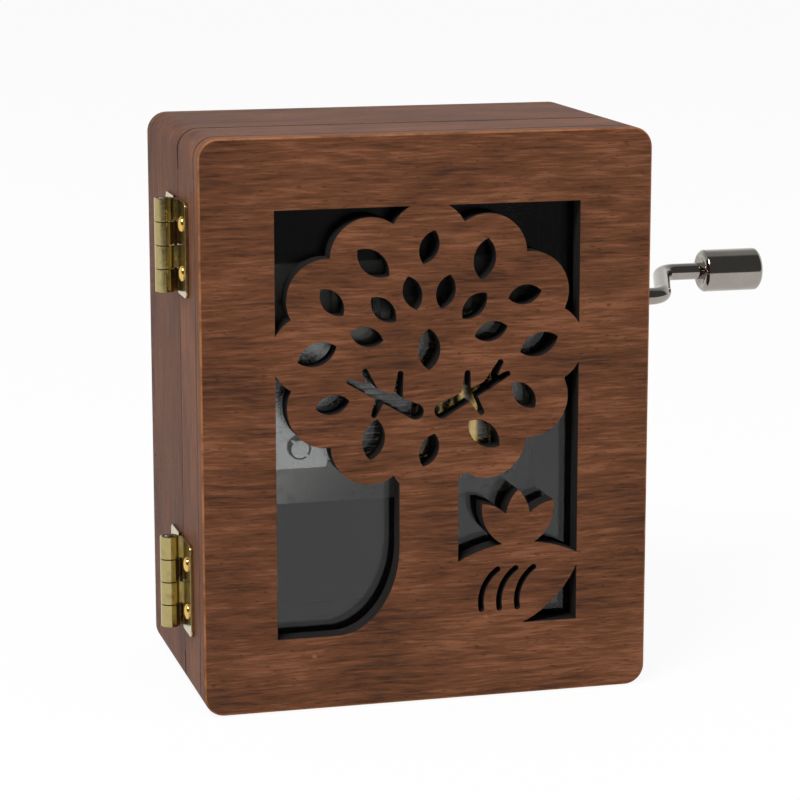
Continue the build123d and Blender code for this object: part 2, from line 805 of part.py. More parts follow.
lower_cylinder_bearing = cylinder_bearing(
    lower_bearing_top_z - bearing_thickness, lower_foot_bottom_z, bearing_screw_places[1]
)
lower_cylinder_bearing.part.label = "lower_cylinder_bearing"
export_step(lower_cylinder_bearing.part, "parts/lower_cylinder_bearing.step")


def crank_post(post_left_x, foot_left_x, foot_screw_place):
    """Cast post with the crank shaft's bore, and a foot on the bedplate."""
    with BuildPart() as post:
        with BuildSketch(side_plane(post_left_x)):
            with Locations(((crank_y + bed_face_y) / 2, crank_height)):
                Rectangle(bed_face_y - crank_y, post_width)
            with Locations((crank_y, crank_height)):
                Circle(post_width / 2)
                Circle(wire_radius + bearing_clearance, mode=Mode.SUBTRACT)
        extrude(amount=post_thickness)
        with BuildSketch(front_plane(bed_face_y)):
            with Locations((foot_left_x + post_foot / 2, crank_height)):
                Rectangle(post_foot, post_width)
            with Locations(foot_screw_place):
                Circle(screw_radius + screw_clearance, mode=Mode.SUBTRACT)
        extrude(amount=bearing_thickness)
    return post


inner_crank_post = crank_post(
    inner_post_x - post_thickness,
    inner_post_x - post_thickness - post_foot,
    post_screw_places[0],
)
inner_crank_post.part.label = "inner_crank_post"
export_step(inner_crank_post.part, "parts/inner_crank_post.step")

outer_crank_post = crank_post(
    outer_post_x, outer_post_x + post_thickness, post_screw_places[1]
)
outer_crank_post.part.label = "outer_crank_post"
export_step(outer_crank_post.part, "parts/outer_crank_post.step")

with BuildPart(front_plane(bed_face_y - bearing_thickness)) as bearing_screws:
    with Locations(*bearing_screw_places, *post_screw_places):
        add(pan_screw(bearing_thickness + screw_grip))
bearing_screws.part.label = "bearing_screws"
export_step(bearing_screws.part, "parts/bearing_screws.step")

# ================================================================ cylinder
with BuildPart() as cylinder_drum:
    with BuildSketch(Plane.XY.offset(drum_bottom_z)):
        with Locations((cylinder_x, cylinder_y)):
            Circle(drum_radius)
            Circle(drum_radius - drum_wall, mode=Mode.SUBTRACT)
    extrude(amount=drum_length)
cylinder_drum.part.label = "cylinder_drum"
export_step(cylinder_drum.part, "parts/cylinder_drum.step")

# Steel pins pressed through the drum's wall, at angles spread by a fixed rule.
with BuildPart() as cylinder_pins:
    for note in range(notes):
        for turn in range(pins_per_note):
            angle = note_turn * note + pin_step * turn + pin_drift * turn * (turn - 1)
            outward = Vector(cos(radians(angle)), sin(radians(angle)), 0)
            note_z = first_note_z + note * note_pitch
            root = Vector(cylinder_x, cylinder_y, note_z) + outward * (drum_radius - drum_wall)
            with BuildSketch(Plane(root, z_dir=outward)):
                Circle(pin_radius)
        extrude(amount=drum_wall + pin_height)
cylinder_pins.part.label = "cylinder_pins"
export_step(cylinder_pins.part, "parts/cylinder_pins.step")

# Plugs that close the drum's ends, each with a hub towards its bearing.
with BuildPart() as drum_end_plugs:
    for end_z, outside in ((drum_bottom_z, -1), (drum_top_z, 1)):
        with BuildSketch(Plane.XY.offset(end_z)):
            with Locations((cylinder_x, cylinder_y)):
                Circle(drum_radius - drum_wall)
                Circle(arbor_radius, mode=Mode.SUBTRACT)
        extrude(amount=-outside * end_plug_thickness)
        with BuildSketch(Plane.XY.offset(end_z)):
            with Locations((cylinder_x, cylinder_y)):
                Circle(hub_radius)
                Circle(arbor_radius, mode=Mode.SUBTRACT)
        extrude(amount=outside * plug_hub_length)
drum_end_plugs.part.label = "drum_end_plugs"
export_step(drum_end_plugs.part, "parts/drum_end_plugs.step")

arbor_bottom_z = lower_bearing_top_z - bearing_thickness - arbor_overhang
arbor_top_z = upper_bearing_bottom_z + bearing_thickness + arbor_overhang
with BuildPart() as cylinder_arbor:
    with BuildSketch(Plane.XY.offset(arbor_bottom_z)):
        with Locations((cylinder_x, cylinder_y)):
            Circle(arbor_radius)
    extrude(amount=arbor_top_z - arbor_bottom_z)
cylinder_arbor.part.label = "cylinder_arbor"
export_step(cylinder_arbor.part, "parts/cylinder_arbor.step")


# ================================================================ worm gear
def flank(radius_from_pitch):
    """Half thickness of a tooth or thread at a height above or below the pitch line."""
    return tooth_thickness / 2 - flank_slope * radius_from_pitch


# Moulded wheel on the arbor. One tooth points straight at the worm.
wheel_hub_bottom_z = drum_top_z + plug_hub_length
wheel_hub_top_z = upper_bearing_bottom_z - end_float
with BuildPart() as worm_wheel:
    with BuildSketch(Plane.XY.offset(crank_height - wheel_thickness / 2)):
        with Locations((cylinder_x, cylinder_y)):
            Circle(wheel_root_radius)
        for tooth in range(wheel_teeth):
            with BuildSketch(mode=Mode.PRIVATE) as tooth_outline:
                with BuildLine():
                    Polyline(
                        (wheel_root_radius - gear_dedendum, -flank(-gear_dedendum)),
                        (wheel_root_radius, -flank(-gear_dedendum)),
                        (wheel_tip_radius, -flank(gear_addendum)),
                        (wheel_tip_radius, flank(gear_addendum)),
                        (wheel_root_radius, flank(-gear_dedendum)),
                        (wheel_root_radius - gear_dedendum, flank(-gear_dedendum)),
                        close=True,
                    )
                make_face()
            tooth_angle = 90 + tooth * 360 / wheel_teeth
            with Locations(Location((cylinder_x, cylinder_y, 0), tooth_angle)):
                add(tooth_outline.sketch)
    extrude(amount=wheel_thickness)
    with BuildSketch(Plane.XY.offset(wheel_hub_bottom_z)):
        with Locations((cylinder_x, cylinder_y)):
            Circle(hub_radius)
    extrude(amount=wheel_hub_top_z - wheel_hub_bottom_z)
    with BuildSketch(Plane.XY.offset(wheel_hub_bottom_z)):
        with Locations((cylinder_x, cylinder_y)):
            Circle(arbor_radius)
    extrude(amount=wheel_hub_top_z - wheel_hub_bottom_z, mode=Mode.SUBTRACT)
worm_wheel.part.label = "worm_wheel"
export_step(worm_wheel.part, "parts/worm_wheel.step")

# Single-start worm on a sleeve that fills the space between the posts. The thread starts
# over the shaft, and is shifted so that a gap between its turns meets the wheel's tooth.
sleeve_left_x = inner_post_x + worm_end_play
sleeve_length = post_spacing - 2 * worm_end_play
thread_start_x = cylinder_x - (worm_turns / 2 - 0.25) * worm_lead
with BuildPart() as worm:
    with BuildSketch(side_plane(sleeve_left_x)):
        with Locations((crank_y, crank_height)):
            Circle(worm_root_radius)
    extrude(amount=sleeve_length)
    with BuildLine() as thread_path:
        Helix(
            worm_lead,
            worm_turns * worm_lead,
            worm_pitch_radius,
            center=(thread_start_x, crank_y, crank_height),
            direction=(1, 0, 0),
        )
    with BuildSketch(
        Plane(thread_path.line @ 0, x_dir=(0, 0, 1), z_dir=thread_path.line % 0)
    ):
        with BuildLine():
            Polyline(
                (-gear_dedendum - gear_addendum, -flank(-gear_dedendum)),
                (-gear_dedendum, -flank(-gear_dedendum)),
                (gear_addendum, -flank(gear_addendum)),
                (gear_addendum, flank(gear_addendum)),
                (-gear_dedendum, flank(-gear_dedendum)),
                (-gear_dedendum - gear_addendum, flank(-gear_dedendum)),
                close=True,
            )
        make_face()
    sweep(path=thread_path.line, is_frenet=True)
    with BuildSketch(side_plane(sleeve_left_x)):
        with Locations((crank_y, crank_height)):
            Circle(wire_radius)
    extrude(amount=sleeve_length, mode=Mode.SUBTRACT)
worm.part.label = "worm"
export_step(worm.part, "parts/worm.step")

# ================================================================ crank wire and knob
# One bent wire: the shaft through the wall, the arm, and the pin that the knob turns on.
shaft_end_x = inner_post_x - post_thickness - arbor_overhang
handle_bend_x = bend_x + arm_splay
handle_end_x = knob_x + knob_length - knob_end_wall - worm_end_play
with BuildPart() as crank_wire:
    with BuildLine() as wire_path:
        FilletPolyline(
            (shaft_end_x, crank_y, crank_height),
            (bend_x, crank_y, crank_height),
            (handle_bend_x, knob_y, knob_z),
            (handle_end_x, knob_y, knob_z),
            radius=bend_radius,
        )
    with BuildSketch(side_plane(shaft_end_x)):
        with Locations((crank_y, crank_height)):
            Circle(wire_radius)
    sweep(path=wire_path.line)
crank_wire.part.label = "crank_wire"
export_step(crank_wire.part, "parts/crank_wire.step")

# Turned knob with a blind bore, a dished inner end and chamfered rims.
bore_radius = wire_radius + bearing_clearance
bore_depth = knob_length - knob_end_wall
knob_plane = Plane(origin=(knob_x, knob_y, knob_z), x_dir=(1, 0, 0), z_dir=(0, -1, 0))
with BuildPart() as crank_knob:
    with BuildSketch(knob_plane):
        with BuildLine():
            Polyline(
                (knob_dish_depth, bore_radius),
                (0, knob_dish_radius),
                (0, knob_radius - knob_chamfer),
                (knob_chamfer, knob_radius),
                (knob_length - knob_chamfer, knob_radius),
                (knob_length, knob_radius - knob_chamfer),
                (knob_length, 0),
                (bore_depth, 0),
                (bore_depth, bore_radius),
                close=True,
            )
        make_face()
    revolve(axis=Axis((knob_x, knob_y, knob_z), (1, 0, 0)))
crank_knob.part.label = "crank_knob"
export_step(crank_knob.part, "parts/crank_knob.step")
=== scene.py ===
import json
from math import cos, hypot, pi, radians, sin

import bmesh
import bpy
from mathutils import Euler, Matrix, Vector


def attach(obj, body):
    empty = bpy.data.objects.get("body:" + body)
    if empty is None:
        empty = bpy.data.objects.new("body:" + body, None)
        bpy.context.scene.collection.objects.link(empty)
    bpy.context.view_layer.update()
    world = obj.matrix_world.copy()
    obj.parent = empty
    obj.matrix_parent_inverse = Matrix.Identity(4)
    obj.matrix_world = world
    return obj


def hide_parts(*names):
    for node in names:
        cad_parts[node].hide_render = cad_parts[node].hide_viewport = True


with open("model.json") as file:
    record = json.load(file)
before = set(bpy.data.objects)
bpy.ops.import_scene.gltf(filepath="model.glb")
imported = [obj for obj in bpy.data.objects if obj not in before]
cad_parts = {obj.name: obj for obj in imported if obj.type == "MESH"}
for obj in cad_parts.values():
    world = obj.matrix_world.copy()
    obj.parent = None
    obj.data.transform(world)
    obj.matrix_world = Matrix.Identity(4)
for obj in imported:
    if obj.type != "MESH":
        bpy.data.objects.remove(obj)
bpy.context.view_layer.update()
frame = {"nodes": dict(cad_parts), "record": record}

scene = bpy.context.scene
mm = 0.001
carrier = {node: body for body, nodes in frame["record"]["behaviour"]["bodies"].items() for node in nodes}


# ---------------------------------------------------------------------------------------------
# The studio: a long lens a little above the box and to the left of its front, a white table that
# ends in front of the box, a white backdrop behind it, and a dim room on the camera's side.
lens_millimetres = 128.21
sensor_millimetres = 36.0
camera_place = Vector((-0.108387, -0.415535, 0.127988))
camera_yaw = radians(14.754)
camera_pitch = radians(11.35)
camera_roll = radians(-0.034)


def wire(tree, kind, sockets=None, **settings):
    """Adds a node to a tree. Each socket gets a value, or the output that is to feed it."""
    made = tree.nodes.new(kind)
    for name, value in settings.items():
        setattr(made, name, value)
    for name, value in (sockets or {}).items():
        if isinstance(value, bpy.types.NodeSocket):
            tree.links.new(value, made.inputs[name])
        else:
            made.inputs[name].default_value = value
    return made


def math(tree, operation, first, second=0.0, clamp=False):
    """One step of arithmetic in a shader or a geometry tree."""
    return wire(tree, "ShaderNodeMath", {0: first, 1: second}, operation=operation, use_clamp=clamp).outputs[0]


def stretch(tree, value, low, high, new_low=0.0, new_high=1.0):
    """Maps low..high of a value to new_low..new_high, with a smooth start and end."""
    sockets = {"Value": value, "From Min": low, "From Max": high, "To Min": new_low, "To Max": new_high}
    return wire(tree, "ShaderNodeMapRange", sockets, interpolation_type="SMOOTHSTEP").outputs[0]


def blend_colours(tree, share, first, second, mode="MIX"):
    """The first colour where share is 0, the second where it is 1."""
    made = wire(tree, "ShaderNodeMix", {0: share, 6: first, 7: second}, data_type="RGBA", blend_type=mode)
    return made.outputs[2]


def colour(red, green, blue):
    """A colour from its 0 to 255 values on screen."""
    screen = (red / 255, green / 255, blue / 255)
    light = [v / 12.92 if v <= 0.04045 else ((v + 0.055) / 1.055) ** 2.4 for v in screen]
    return (*light, 1.0)


def new_object(name, data):
    """A new object at the origin, so that its mesh is where the piece is."""
    made = bpy.data.objects.new(name, data)
    scene.collection.objects.link(made)
    return made


camera_data = bpy.data.cameras.new("camera")
camera_data.lens = lens_millimetres
camera_data.sensor_width = sensor_millimetres
camera_data.clip_start = 0.01
camera = new_object("camera", camera_data)
camera_turn = Matrix.Rotation(-camera_yaw, 4, "Z") @ Matrix.Rotation(pi / 2 - camera_pitch, 4, "X")
camera.matrix_world = Matrix.Translation(camera_place) @ camera_turn @ Matrix.Rotation(camera_roll, 4, "Z")
scene.camera = camera

table_front = -0.35
table_back = 3.0
table_side = 2.0
table_drop = 0.0002  # under the box, so that the two faces don't lie in one plane
table_white = 0.82
table_seen_white = 0.93  # share of plain white that the camera sees over the lit surface

table_mesh = bpy.data.meshes.new("table")
table_corners = [
    (-table_side, table_front, -table_drop),
    (table_side, table_front, -table_drop),
    (table_side, table_back, -table_drop),
    (-table_side, table_back, -table_drop),
]
table_mesh.from_pydata(table_corners, [], [(0, 1, 2, 3)])
table = new_object("table", table_mesh)

paper = bpy.data.materials.new("white_paper")
paper.use_nodes = True
paper_tree = paper.node_tree
paper_tree.nodes.clear()
paper_lit = wire(paper_tree, "ShaderNodeBsdfDiffuse", {"Color": (table_white, table_white, table_white, 1)})
paper_seen = wire(paper_tree, "ShaderNodeEmission", {"Color": (1, 1, 1, 1), "Strength": 1.0})
paper_rays = wire(paper_tree, "ShaderNodeLightPath")
paper_share = math(paper_tree, "MAXIMUM", paper_rays.outputs["Is Camera Ray"], paper_rays.outputs["Is Glossy Ray"])
paper_share = math(paper_tree, "MAXIMUM", paper_share, paper_rays.outputs["Is Transmission Ray"])
paper_share = math(paper_tree, "MULTIPLY", paper_share, table_seen_white)
paper_mix = wire(paper_tree, "ShaderNodeMixShader", {0: paper_share, 1: paper_lit.outputs[0], 2: paper_seen.outputs[0]})
wire(paper_tree, "ShaderNodeOutputMaterial", {"Surface": paper_mix.outputs[0]})
table_mesh.materials.append(paper)

room_light = 0.45  # what the surroundings give to a matt surface
dim_room = 0.10  # what metal and glass mirror of the room behind the camera
high_backdrop = 0.42  # how much of the backdrop's white is left high up

world = bpy.data.worlds.new("studio")
world.use_nodes = True
scene.world = world
world_tree = world.node_tree
world_tree.nodes.clear()
world_rays = wire(world_tree, "ShaderNodeLightPath")
world_way = wire(world_tree, "ShaderNodeTexCoord")
world_axes = wire(world_tree, "ShaderNodeSeparateXYZ", {0: world_way.outputs["Generated"]})
towards_camera = stretch(world_tree, world_axes.outputs["Y"], -0.10, 0.15, 1.0, 0.0)
backdrop_level = stretch(world_tree, world_axes.outputs["Z"], 0.30, 0.85, 1.0, high_backdrop)
mirrored = wire(
    world_tree, "ShaderNodeMix", {0: towards_camera, 2: backdrop_level, 3: dim_room}, data_type="FLOAT"
).outputs[0]
world_mirror = math(world_tree, "MAXIMUM", world_rays.outputs["Is Glossy Ray"], world_rays.outputs["Is Transmission Ray"])
world_level = wire(
    world_tree, "ShaderNodeMix", {0: world_rays.outputs["Is Camera Ray"], 2: room_light, 3: 1.0}, data_type="FLOAT"
).outputs[0]
world_level = wire(world_tree, "ShaderNodeMix", {0: world_mirror, 2: world_level, 3: mirrored}, data_type="FLOAT")
world_back = wire(world_tree, "ShaderNodeBackground", {"Color": (1, 1, 1, 1), "Strength": world_level.outputs[0]})
wire(world_tree, "ShaderNodeOutputWorld", {"Surface": world_back.outputs[0]})

lamps = (  # name, place, side, watts, and whether metal mirrors it
    ("key_lamp", (-0.46, -0.54, 1.01), 0.45, 12.8, True),
    ("fill_lamp", (0.70, -0.75, 0.45), 0.70, 1.5, False),
)
lamp_aim = Vector((0.0, 0.0, 0.045))
for lamp_name, lamp_place, lamp_side, lamp_watts, lamp_mirrored in lamps:
    lamp_data = bpy.data.lights.new(lamp_name, "AREA")
    lamp_data.size = lamp_side
    lamp_data.energy = lamp_watts
    lamp = new_object(lamp_name, lamp_data)
    lamp.visible_glossy = lamp_mirrored
    lamp.visible_transmission = False
    lamp.location = lamp_place
    lamp.rotation_euler = (lamp_aim - Vector(lamp_place)).to_track_quat("-Z", "Y").to_euler()

scene.view_settings.view_transform = "Standard"


# ---------------------------------------------------------------------------------------------
# The fixed part of the case: four boards, stained red-brown and thinly lacquered, with the grain
# along each board. Their outer edges are eased, and coloured near-black there as painted shade in the seams.
outer_half_width = 34.0 * mm
inner_half_width = 28.0 * mm
case_height = 85.0 * mm
board_thickness = 6.0 * mm
corner_radius = 3.0 * mm
case_edge = 0.32 * mm
wood_gloss = 0.06
sharp_angle = radians(35)
touching = 0.02 * mm

case_brown_dark = colour(62, 38, 29)
case_brown = colour(94, 57, 39)
case_brown_light = colour(120, 76, 50)
worn_wood = colour(150, 97, 60)
# The colour below is painted shade: it darkens the eased edges of the case and door boards, where the seams between
# them lie in shade.
painted_seam_shade = colour(34, 24, 22)


def new_material(name):
    """A material with its tree and its shader."""
    made = bpy.data.materials.new(name)
    made.use_nodes = True
    return made, made.node_tree, made.node_tree.nodes["Principled BSDF"]


def new_group(name, inputs, outputs):
    """An empty shader group with the sockets given as (name, kind, value)."""
    group = bpy.data.node_groups.new(name, "ShaderNodeTree")
    for socket_name, kind, value in inputs:
        socket = group.interface.new_socket(socket_name, in_out="INPUT", socket_type=kind)
        if value is not None:
            socket.default_value = value
    for socket_name, kind in outputs:
        group.interface.new_socket(socket_name, in_out="OUTPUT", socket_type=kind)
    return group, group.nodes.new("NodeGroupInput").outputs, group.nodes.new("NodeGroupOutput").inputs


def noise(tree, place, scale, detail=2.0, roughness=0.5, distortion=0.0):
    """Noise whose size along each axis is set by a scale for each, in features per millimetre."""
    mapped = wire(tree, "ShaderNodeMapping", {"Vector": place, "Scale": scale}).outputs[0]
    sockets = {"Vector": mapped, "Scale": 1.0, "Detail": detail, "Roughness": roughness, "Distortion": distortion}
    return wire(tree, "ShaderNodeTexNoise", sockets).outputs[0]


# The grain of a sliced veneer, along X of the place that it is given, in millimetres. Short streaks
# and finer fibres lie over slow clouds, with dark pores and a few pale specks of filler.
board_grain, grain_in, grain_out = new_group(
    "board_grain",
    (
        ("Place", "NodeSocketVector", None),
        ("Dark", "NodeSocketColor", case_brown_dark),
        ("Middle", "NodeSocketColor", case_brown),
        ("Light", "NodeSocketColor", case_brown_light),
        ("Streaks", "NodeSocketFloat", 1.0),
        ("Clouds", "NodeSocketFloat", 1.0),
        ("Specks", "NodeSocketFloat", 0.0),
    ),
    (("Color", "NodeSocketColor"), ("Height", "NodeSocketFloat"), ("Roughness", "NodeSocketFloat")),
)
sway = noise(board_grain, grain_in["Place"], (0.030, 0.05, 0.05), detail=2.0)
sway_lift = wire(board_grain, "ShaderNodeCombineXYZ", {2: math(board_grain, "MULTIPLY", sway, 2.2)}).outputs[0]
swayed = wire(board_grain, "ShaderNodeVectorMath", {0: grain_in["Place"], 1: sway_lift}, operation="ADD").outputs[0]
streak = noise(board_grain, swayed, (0.10, 0.50, 1.35), detail=4.0, roughness=0.62)
fibre = noise(board_grain, swayed, (0.28, 0.90, 3.6), detail=3.0, roughness=0.6)
cloud = noise(board_grain, grain_in["Place"], (0.040, 0.05, 0.095), detail=3.0, roughness=0.55)
streak_tone = math(board_grain, "MULTIPLY", math(board_grain, "SUBTRACT", streak, 0.5), grain_in["Streaks"])
fibre_tone = math(board_grain, "MULTIPLY", math(board_grain, "SUBTRACT", fibre, 0.5), grain_in["Streaks"])
cloud_tone = math(board_grain, "MULTIPLY", math(board_grain, "SUBTRACT", cloud, 0.5), grain_in["Clouds"])
tone = math(board_grain, "ADD", math(board_grain, "ADD", streak_tone, fibre_tone), cloud_tone)
towards_dark = stretch(board_grain, tone, -0.42, 0.04, 1.0, 0.0)
towards_light = stretch(board_grain, tone, -0.04, 0.42, 0.0, 1.0)
grain_colour = blend_colours(board_grain, towards_dark, grain_in["Middle"], grain_in["Dark"])
grain_colour = blend_colours(board_grain, towards_light, grain_colour, grain_in["Light"])
pore = stretch(board_grain, noise(board_grain, swayed, (0.75, 1.0, 3.4), detail=1.0), 0.64, 0.76)
pore_share = math(board_grain, "MULTIPLY", pore, 0.6)
grain_colour = blend_colours(board_grain, pore_share, grain_colour, grain_in["Dark"])
speck_place = wire(board_grain, "ShaderNodeMapping", {"Vector": grain_in["Place"], "Scale": (0.08, 0.08, 0.11)}).outputs[0]
speck_distance = wire(board_grain, "ShaderNodeTexVoronoi", {"Vector": speck_place, "Scale": 1.0}).outputs["Distance"]
speck_share = math(board_grain, "MULTIPLY", stretch(board_grain, speck_distance, 0.030, 0.055, 0.7, 0.0), grain_in["Specks"])
grain_colour = blend_colours(board_grain, speck_share, grain_colour, worn_wood)
board_grain.links.new(grain_colour, grain_out["Color"])
grain_height = math(board_grain, "SUBTRACT", math(board_grain, "MULTIPLY", fibre, 0.6), pore_share)
board_grain.links.new(grain_height, grain_out["Height"])
grain_roughness = stretch(board_grain, math(board_grain, "ADD", fibre, pore_share), 0.3, 1.0, 0.50, 0.66)
board_grain.links.new(grain_roughness, grain_out["Roughness"])

# Colour along an eased edge, in an uneven line: unstained wood where the stain has come off, or painted seam shade
# where the edge lies in a seam.
edge_wear_and_seam_shade, edge_in, edge_out = new_group(
    "edge_wear_and_seam_shade",
    (
        ("Color", "NodeSocketColor", case_brown),
        ("Edge colour", "NodeSocketColor", worn_wood),
        ("Band", "NodeSocketFloat", 0.0),
        ("Amount", "NodeSocketFloat", 1.0),
        ("Place", "NodeSocketVector", None),
    ),
    (("Color", "NodeSocketColor"), ("Share", "NodeSocketFloat")),
)
uneven_band = noise(edge_wear_and_seam_shade, edge_in["Place"], (0.22, 0.22, 0.22), detail=4.0, roughness=0.65)
uneven_band = stretch(edge_wear_and_seam_shade, uneven_band, 0.34, 0.62, 0.30, 1.0)
uneven_band = math(edge_wear_and_seam_shade, "MULTIPLY", math(edge_wear_and_seam_shade, "MULTIPLY", uneven_band, edge_in["Band"]), edge_in["Amount"], clamp=True)
edge_wear_and_seam_shade.links.new(blend_colours(edge_wear_and_seam_shade, uneven_band, edge_in["Color"], edge_in["Edge colour"]), edge_out["Color"])
edge_wear_and_seam_shade.links.new(uneven_band, edge_out["Share"])


def place_in_millimetres(tree):
    """Object coordinates, in millimetres."""
    found = wire(tree, "ShaderNodeTexCoord")
    scaled = wire(tree, "ShaderNodeVectorMath", {0: found.outputs["Object"], 3: 1 / mm}, operation="SCALE")
    return scaled.outputs[0], found.outputs["Normal"]


def placed_group(tree, group, sockets):
    """A shader group, placed in a material with its own values."""
    made = wire(tree, "ShaderNodeGroup", node_tree=group)
    for name, value in sockets.items():
        if isinstance(value, bpy.types.NodeSocket):
            tree.links.new(value, made.inputs[name])
        else:
            made.inputs[name].default_value = value
    return made.outputs


def bumped(tree, shader, height, depth, strength=1.0):
    """Relief from a height, as deep as given."""
    bump = wire(tree, "ShaderNodeBump", {"Height": height, "Distance": depth, "Strength": strength})
    tree.links.new(bump.outputs[0], shader.inputs["Normal"])


def stained_board(name, tones, turned, edge_tone, edge_amount, streaks=1.1, clouds=1.0, specks=0.0):
    """Stained veneer. Its grain runs along X, and where turned is true it follows the case round
    its corners: up the sides, and across the top and the bottom. Eased edges take the edge colour,
    which is unstained wood on the front and back panels and painted seam shade on the boards."""
    made, tree, shader = new_material(name)
    place, facing = place_in_millimetres(tree)
    values = {"Dark": tones[0], "Middle": tones[1], "Light": tones[2]}
    values |= {"Streaks": streaks, "Clouds": clouds, "Specks": specks}
    if turned:
        axes = wire(tree, "ShaderNodeSeparateXYZ", {0: place}).outputs
        level_place = wire(tree, "ShaderNodeCombineXYZ", {0: axes[0], 1: axes[2], 2: axes[1]}).outputs[0]
        upright_place = wire(tree, "ShaderNodeCombineXYZ", {0: axes[2], 1: axes[0], 2: axes[1]}).outputs[0]
        level = placed_group(tree, board_grain, {"Place": level_place, **values})
        upright = placed_group(tree, board_grain, {"Place": upright_place, **values})
        sideways = math(tree, "ABSOLUTE", wire(tree, "ShaderNodeSeparateXYZ", {0: facing}).outputs[0])
        share = stretch(tree, sideways, 0.62, 0.80)
        grain = blend_colours(tree, share, level["Color"], upright["Color"])
        height = wire(tree, "ShaderNodeMix", {0: share, 2: level["Height"], 3: upright["Height"]}).outputs[0]
        roughness = wire(tree, "ShaderNodeMix", {0: share, 2: level["Roughness"], 3: upright["Roughness"]}).outputs[0]
    else:
        level = placed_group(tree, board_grain, {"Place": place, **values})
        grain, height, roughness = level["Color"], level["Height"], level["Roughness"]
    edge_band = wire(tree, "ShaderNodeAttribute", attribute_name="edge_band").outputs["Fac"]
    edged_grain = placed_group(
        tree, edge_wear_and_seam_shade, {"Color": grain, "Edge colour": edge_tone, "Band": edge_band, "Amount": edge_amount, "Place": place}
    )
    tree.links.new(edged_grain["Color"], shader.inputs["Base Color"])
    tree.links.new(roughness, shader.inputs["Roughness"])
    shader.inputs["Specular IOR Level"].default_value = wood_gloss
    bumped(tree, shader, height, 0.04 * mm)
    return made


case_tones = (case_brown_dark, case_brown, case_brown_light)
# The case boards' eased edges are painted near-black: painted shade in the seams.
case_wood = stained_board("case_wood", case_tones, turned=True, edge_tone=painted_seam_shade, edge_amount=0.95)

# The faces inside the case, and the back panel's inner face, are coloured near-black.
near_black_inside, inside_tree, inside_shader = new_material("near_black_inside")
inside_place, _ = place_in_millimetres(inside_tree)
inside_cloud = noise(inside_tree, inside_place, (0.4, 0.4, 0.4), detail=4.0)
inside_tint = blend_colours(inside_tree, inside_cloud, colour(13, 12, 12), colour(27, 24, 23))
inside_tree.links.new(inside_tint, inside_shader.inputs["Base Color"])
inside_tree.links.new(stretch(inside_tree, inside_cloud, 0.3, 0.7, 0.72, 0.9), inside_shader.inputs["Roughness"])
inside_shader.inputs["Specular IOR Level"].default_value = 0.1


def whole_shape(node):
    """A copy of a CAD part with its corners merged and each flat face in one piece."""
    shape = bmesh.new()
    shape.from_mesh(frame["nodes"][node].data)
    bmesh.ops.remove_doubles(shape, verts=shape.verts, dist=0.0005 * mm)
    bmesh.ops.dissolve_limit(shape, angle_limit=radians(0.3), verts=shape.verts, edges=shape.edges)
    return shape


def put_together(name, shape, materials, body, replaced, chooser=None):
    """Makes the shape a piece that rides on a body and stands for CAD nodes. Curved faces are
    smooth, edges sharper than sharp_angle stay crisp, and flat faces stay flat up to a rounded edge."""
    for edge in shape.edges:
        edge.smooth = edge.is_manifold and edge.calc_face_angle() < sharp_angle
    for face in shape.faces:
        face.smooth = True
        face.material_index = chooser(face) if chooser else 0
    bmesh.ops.triangulate(shape, faces=[face for face in shape.faces if len(face.verts) > 4])
    mesh = bpy.data.meshes.new(name)
    shape.to_mesh(mesh)
    shape.free()
    for material in materials:
        mesh.materials.append(material)
    piece = new_object(name, mesh)
    weighted = piece.modifiers.new("flat faces", "WEIGHTED_NORMAL")
    weighted.keep_sharp = True
    weighted.weight = 100
    finished = bpy.data.meshes.new_from_object(piece.evaluated_get(bpy.context.evaluated_depsgraph_get()))
    piece.modifiers.clear()
    piece.data = finished
    bpy.data.meshes.remove(mesh)
    finished.name = name
    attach(piece, body)
    if replaced:
        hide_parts(*replaced)
    return piece


def ease(shape, width, chosen, steps=3):
    """Rounds the chosen sharp edges over, and writes 'worn': 1 along their middle, 0 elsewhere."""
    edge_band = shape.verts.layers.float.get("edge_band") or shape.verts.layers.float.new("edge_band")
    picked = [
        edge
        for edge in shape.edges
        if edge.is_manifold and edge.calc_face_angle() > sharp_angle and chosen(edge)
    ]
    made = bmesh.ops.bevel(
        shape, geom=picked, offset=width, offset_type="OFFSET", segments=steps, profile=0.5,
        affect="EDGES", clamp_overlap=True,
    )
    band = set(made["faces"])
    for vertex in {vertex for face in band for vertex in face.verts}:
        if all(face in band for face in vertex.link_faces):
            vertex[edge_band] = 1.0
    bmesh.ops.remove_doubles(shape, verts=shape.verts, dist=0.0005 * mm)


def on_outline(point):
    """Whether a point lies on the outer sides of the case, seen from the front."""
    x = abs(point.x)
    z = min(point.z, case_height - point.z)
    corner_x = x - (outer_half_width - corner_radius)
    corner_z = corner_radius - z
    if corner_x > 0 and corner_z > 0:
        return abs(hypot(corner_x, corner_z) - corner_radius) < touching
    return abs(x - outer_half_width) < touching or z < touching


def outer_rim(edge):
    """Whether an edge runs round the outside of the case, at the front or the back of a board."""
    first, second = (vertex.co for vertex in edge.verts)
    return on_outline(first) and on_outline(second) and abs(first.y - second.y) < touching


def inside_case(face):
    """1 for the faces that line the inside of the case, otherwise 0."""
    middle = face.calc_center_median()
    narrow = abs(middle.x) < inner_half_width + touching
    low = board_thickness - touching < middle.z < case_height - board_thickness + touching
    return int(narrow and low and abs(face.normal.y) < 0.5)


def board_piece(name, node, wood):
    """One board of the case or of the door frame."""
    shape = whole_shape(node)
    ease(shape, case_edge, outer_rim)
    put_together(name, shape, (wood, near_black_inside), carrier[node], [node], inside_case)


for board_name, board_node in (
    ("case_top_board", "body_top_wall"),
    ("case_bottom_board", "body_bottom_wall"),
    ("case_left_board", "body_left_wall"),
    ("case_right_board", "body_right_wall"),
):
    board_piece(board_name, board_node, case_wood)


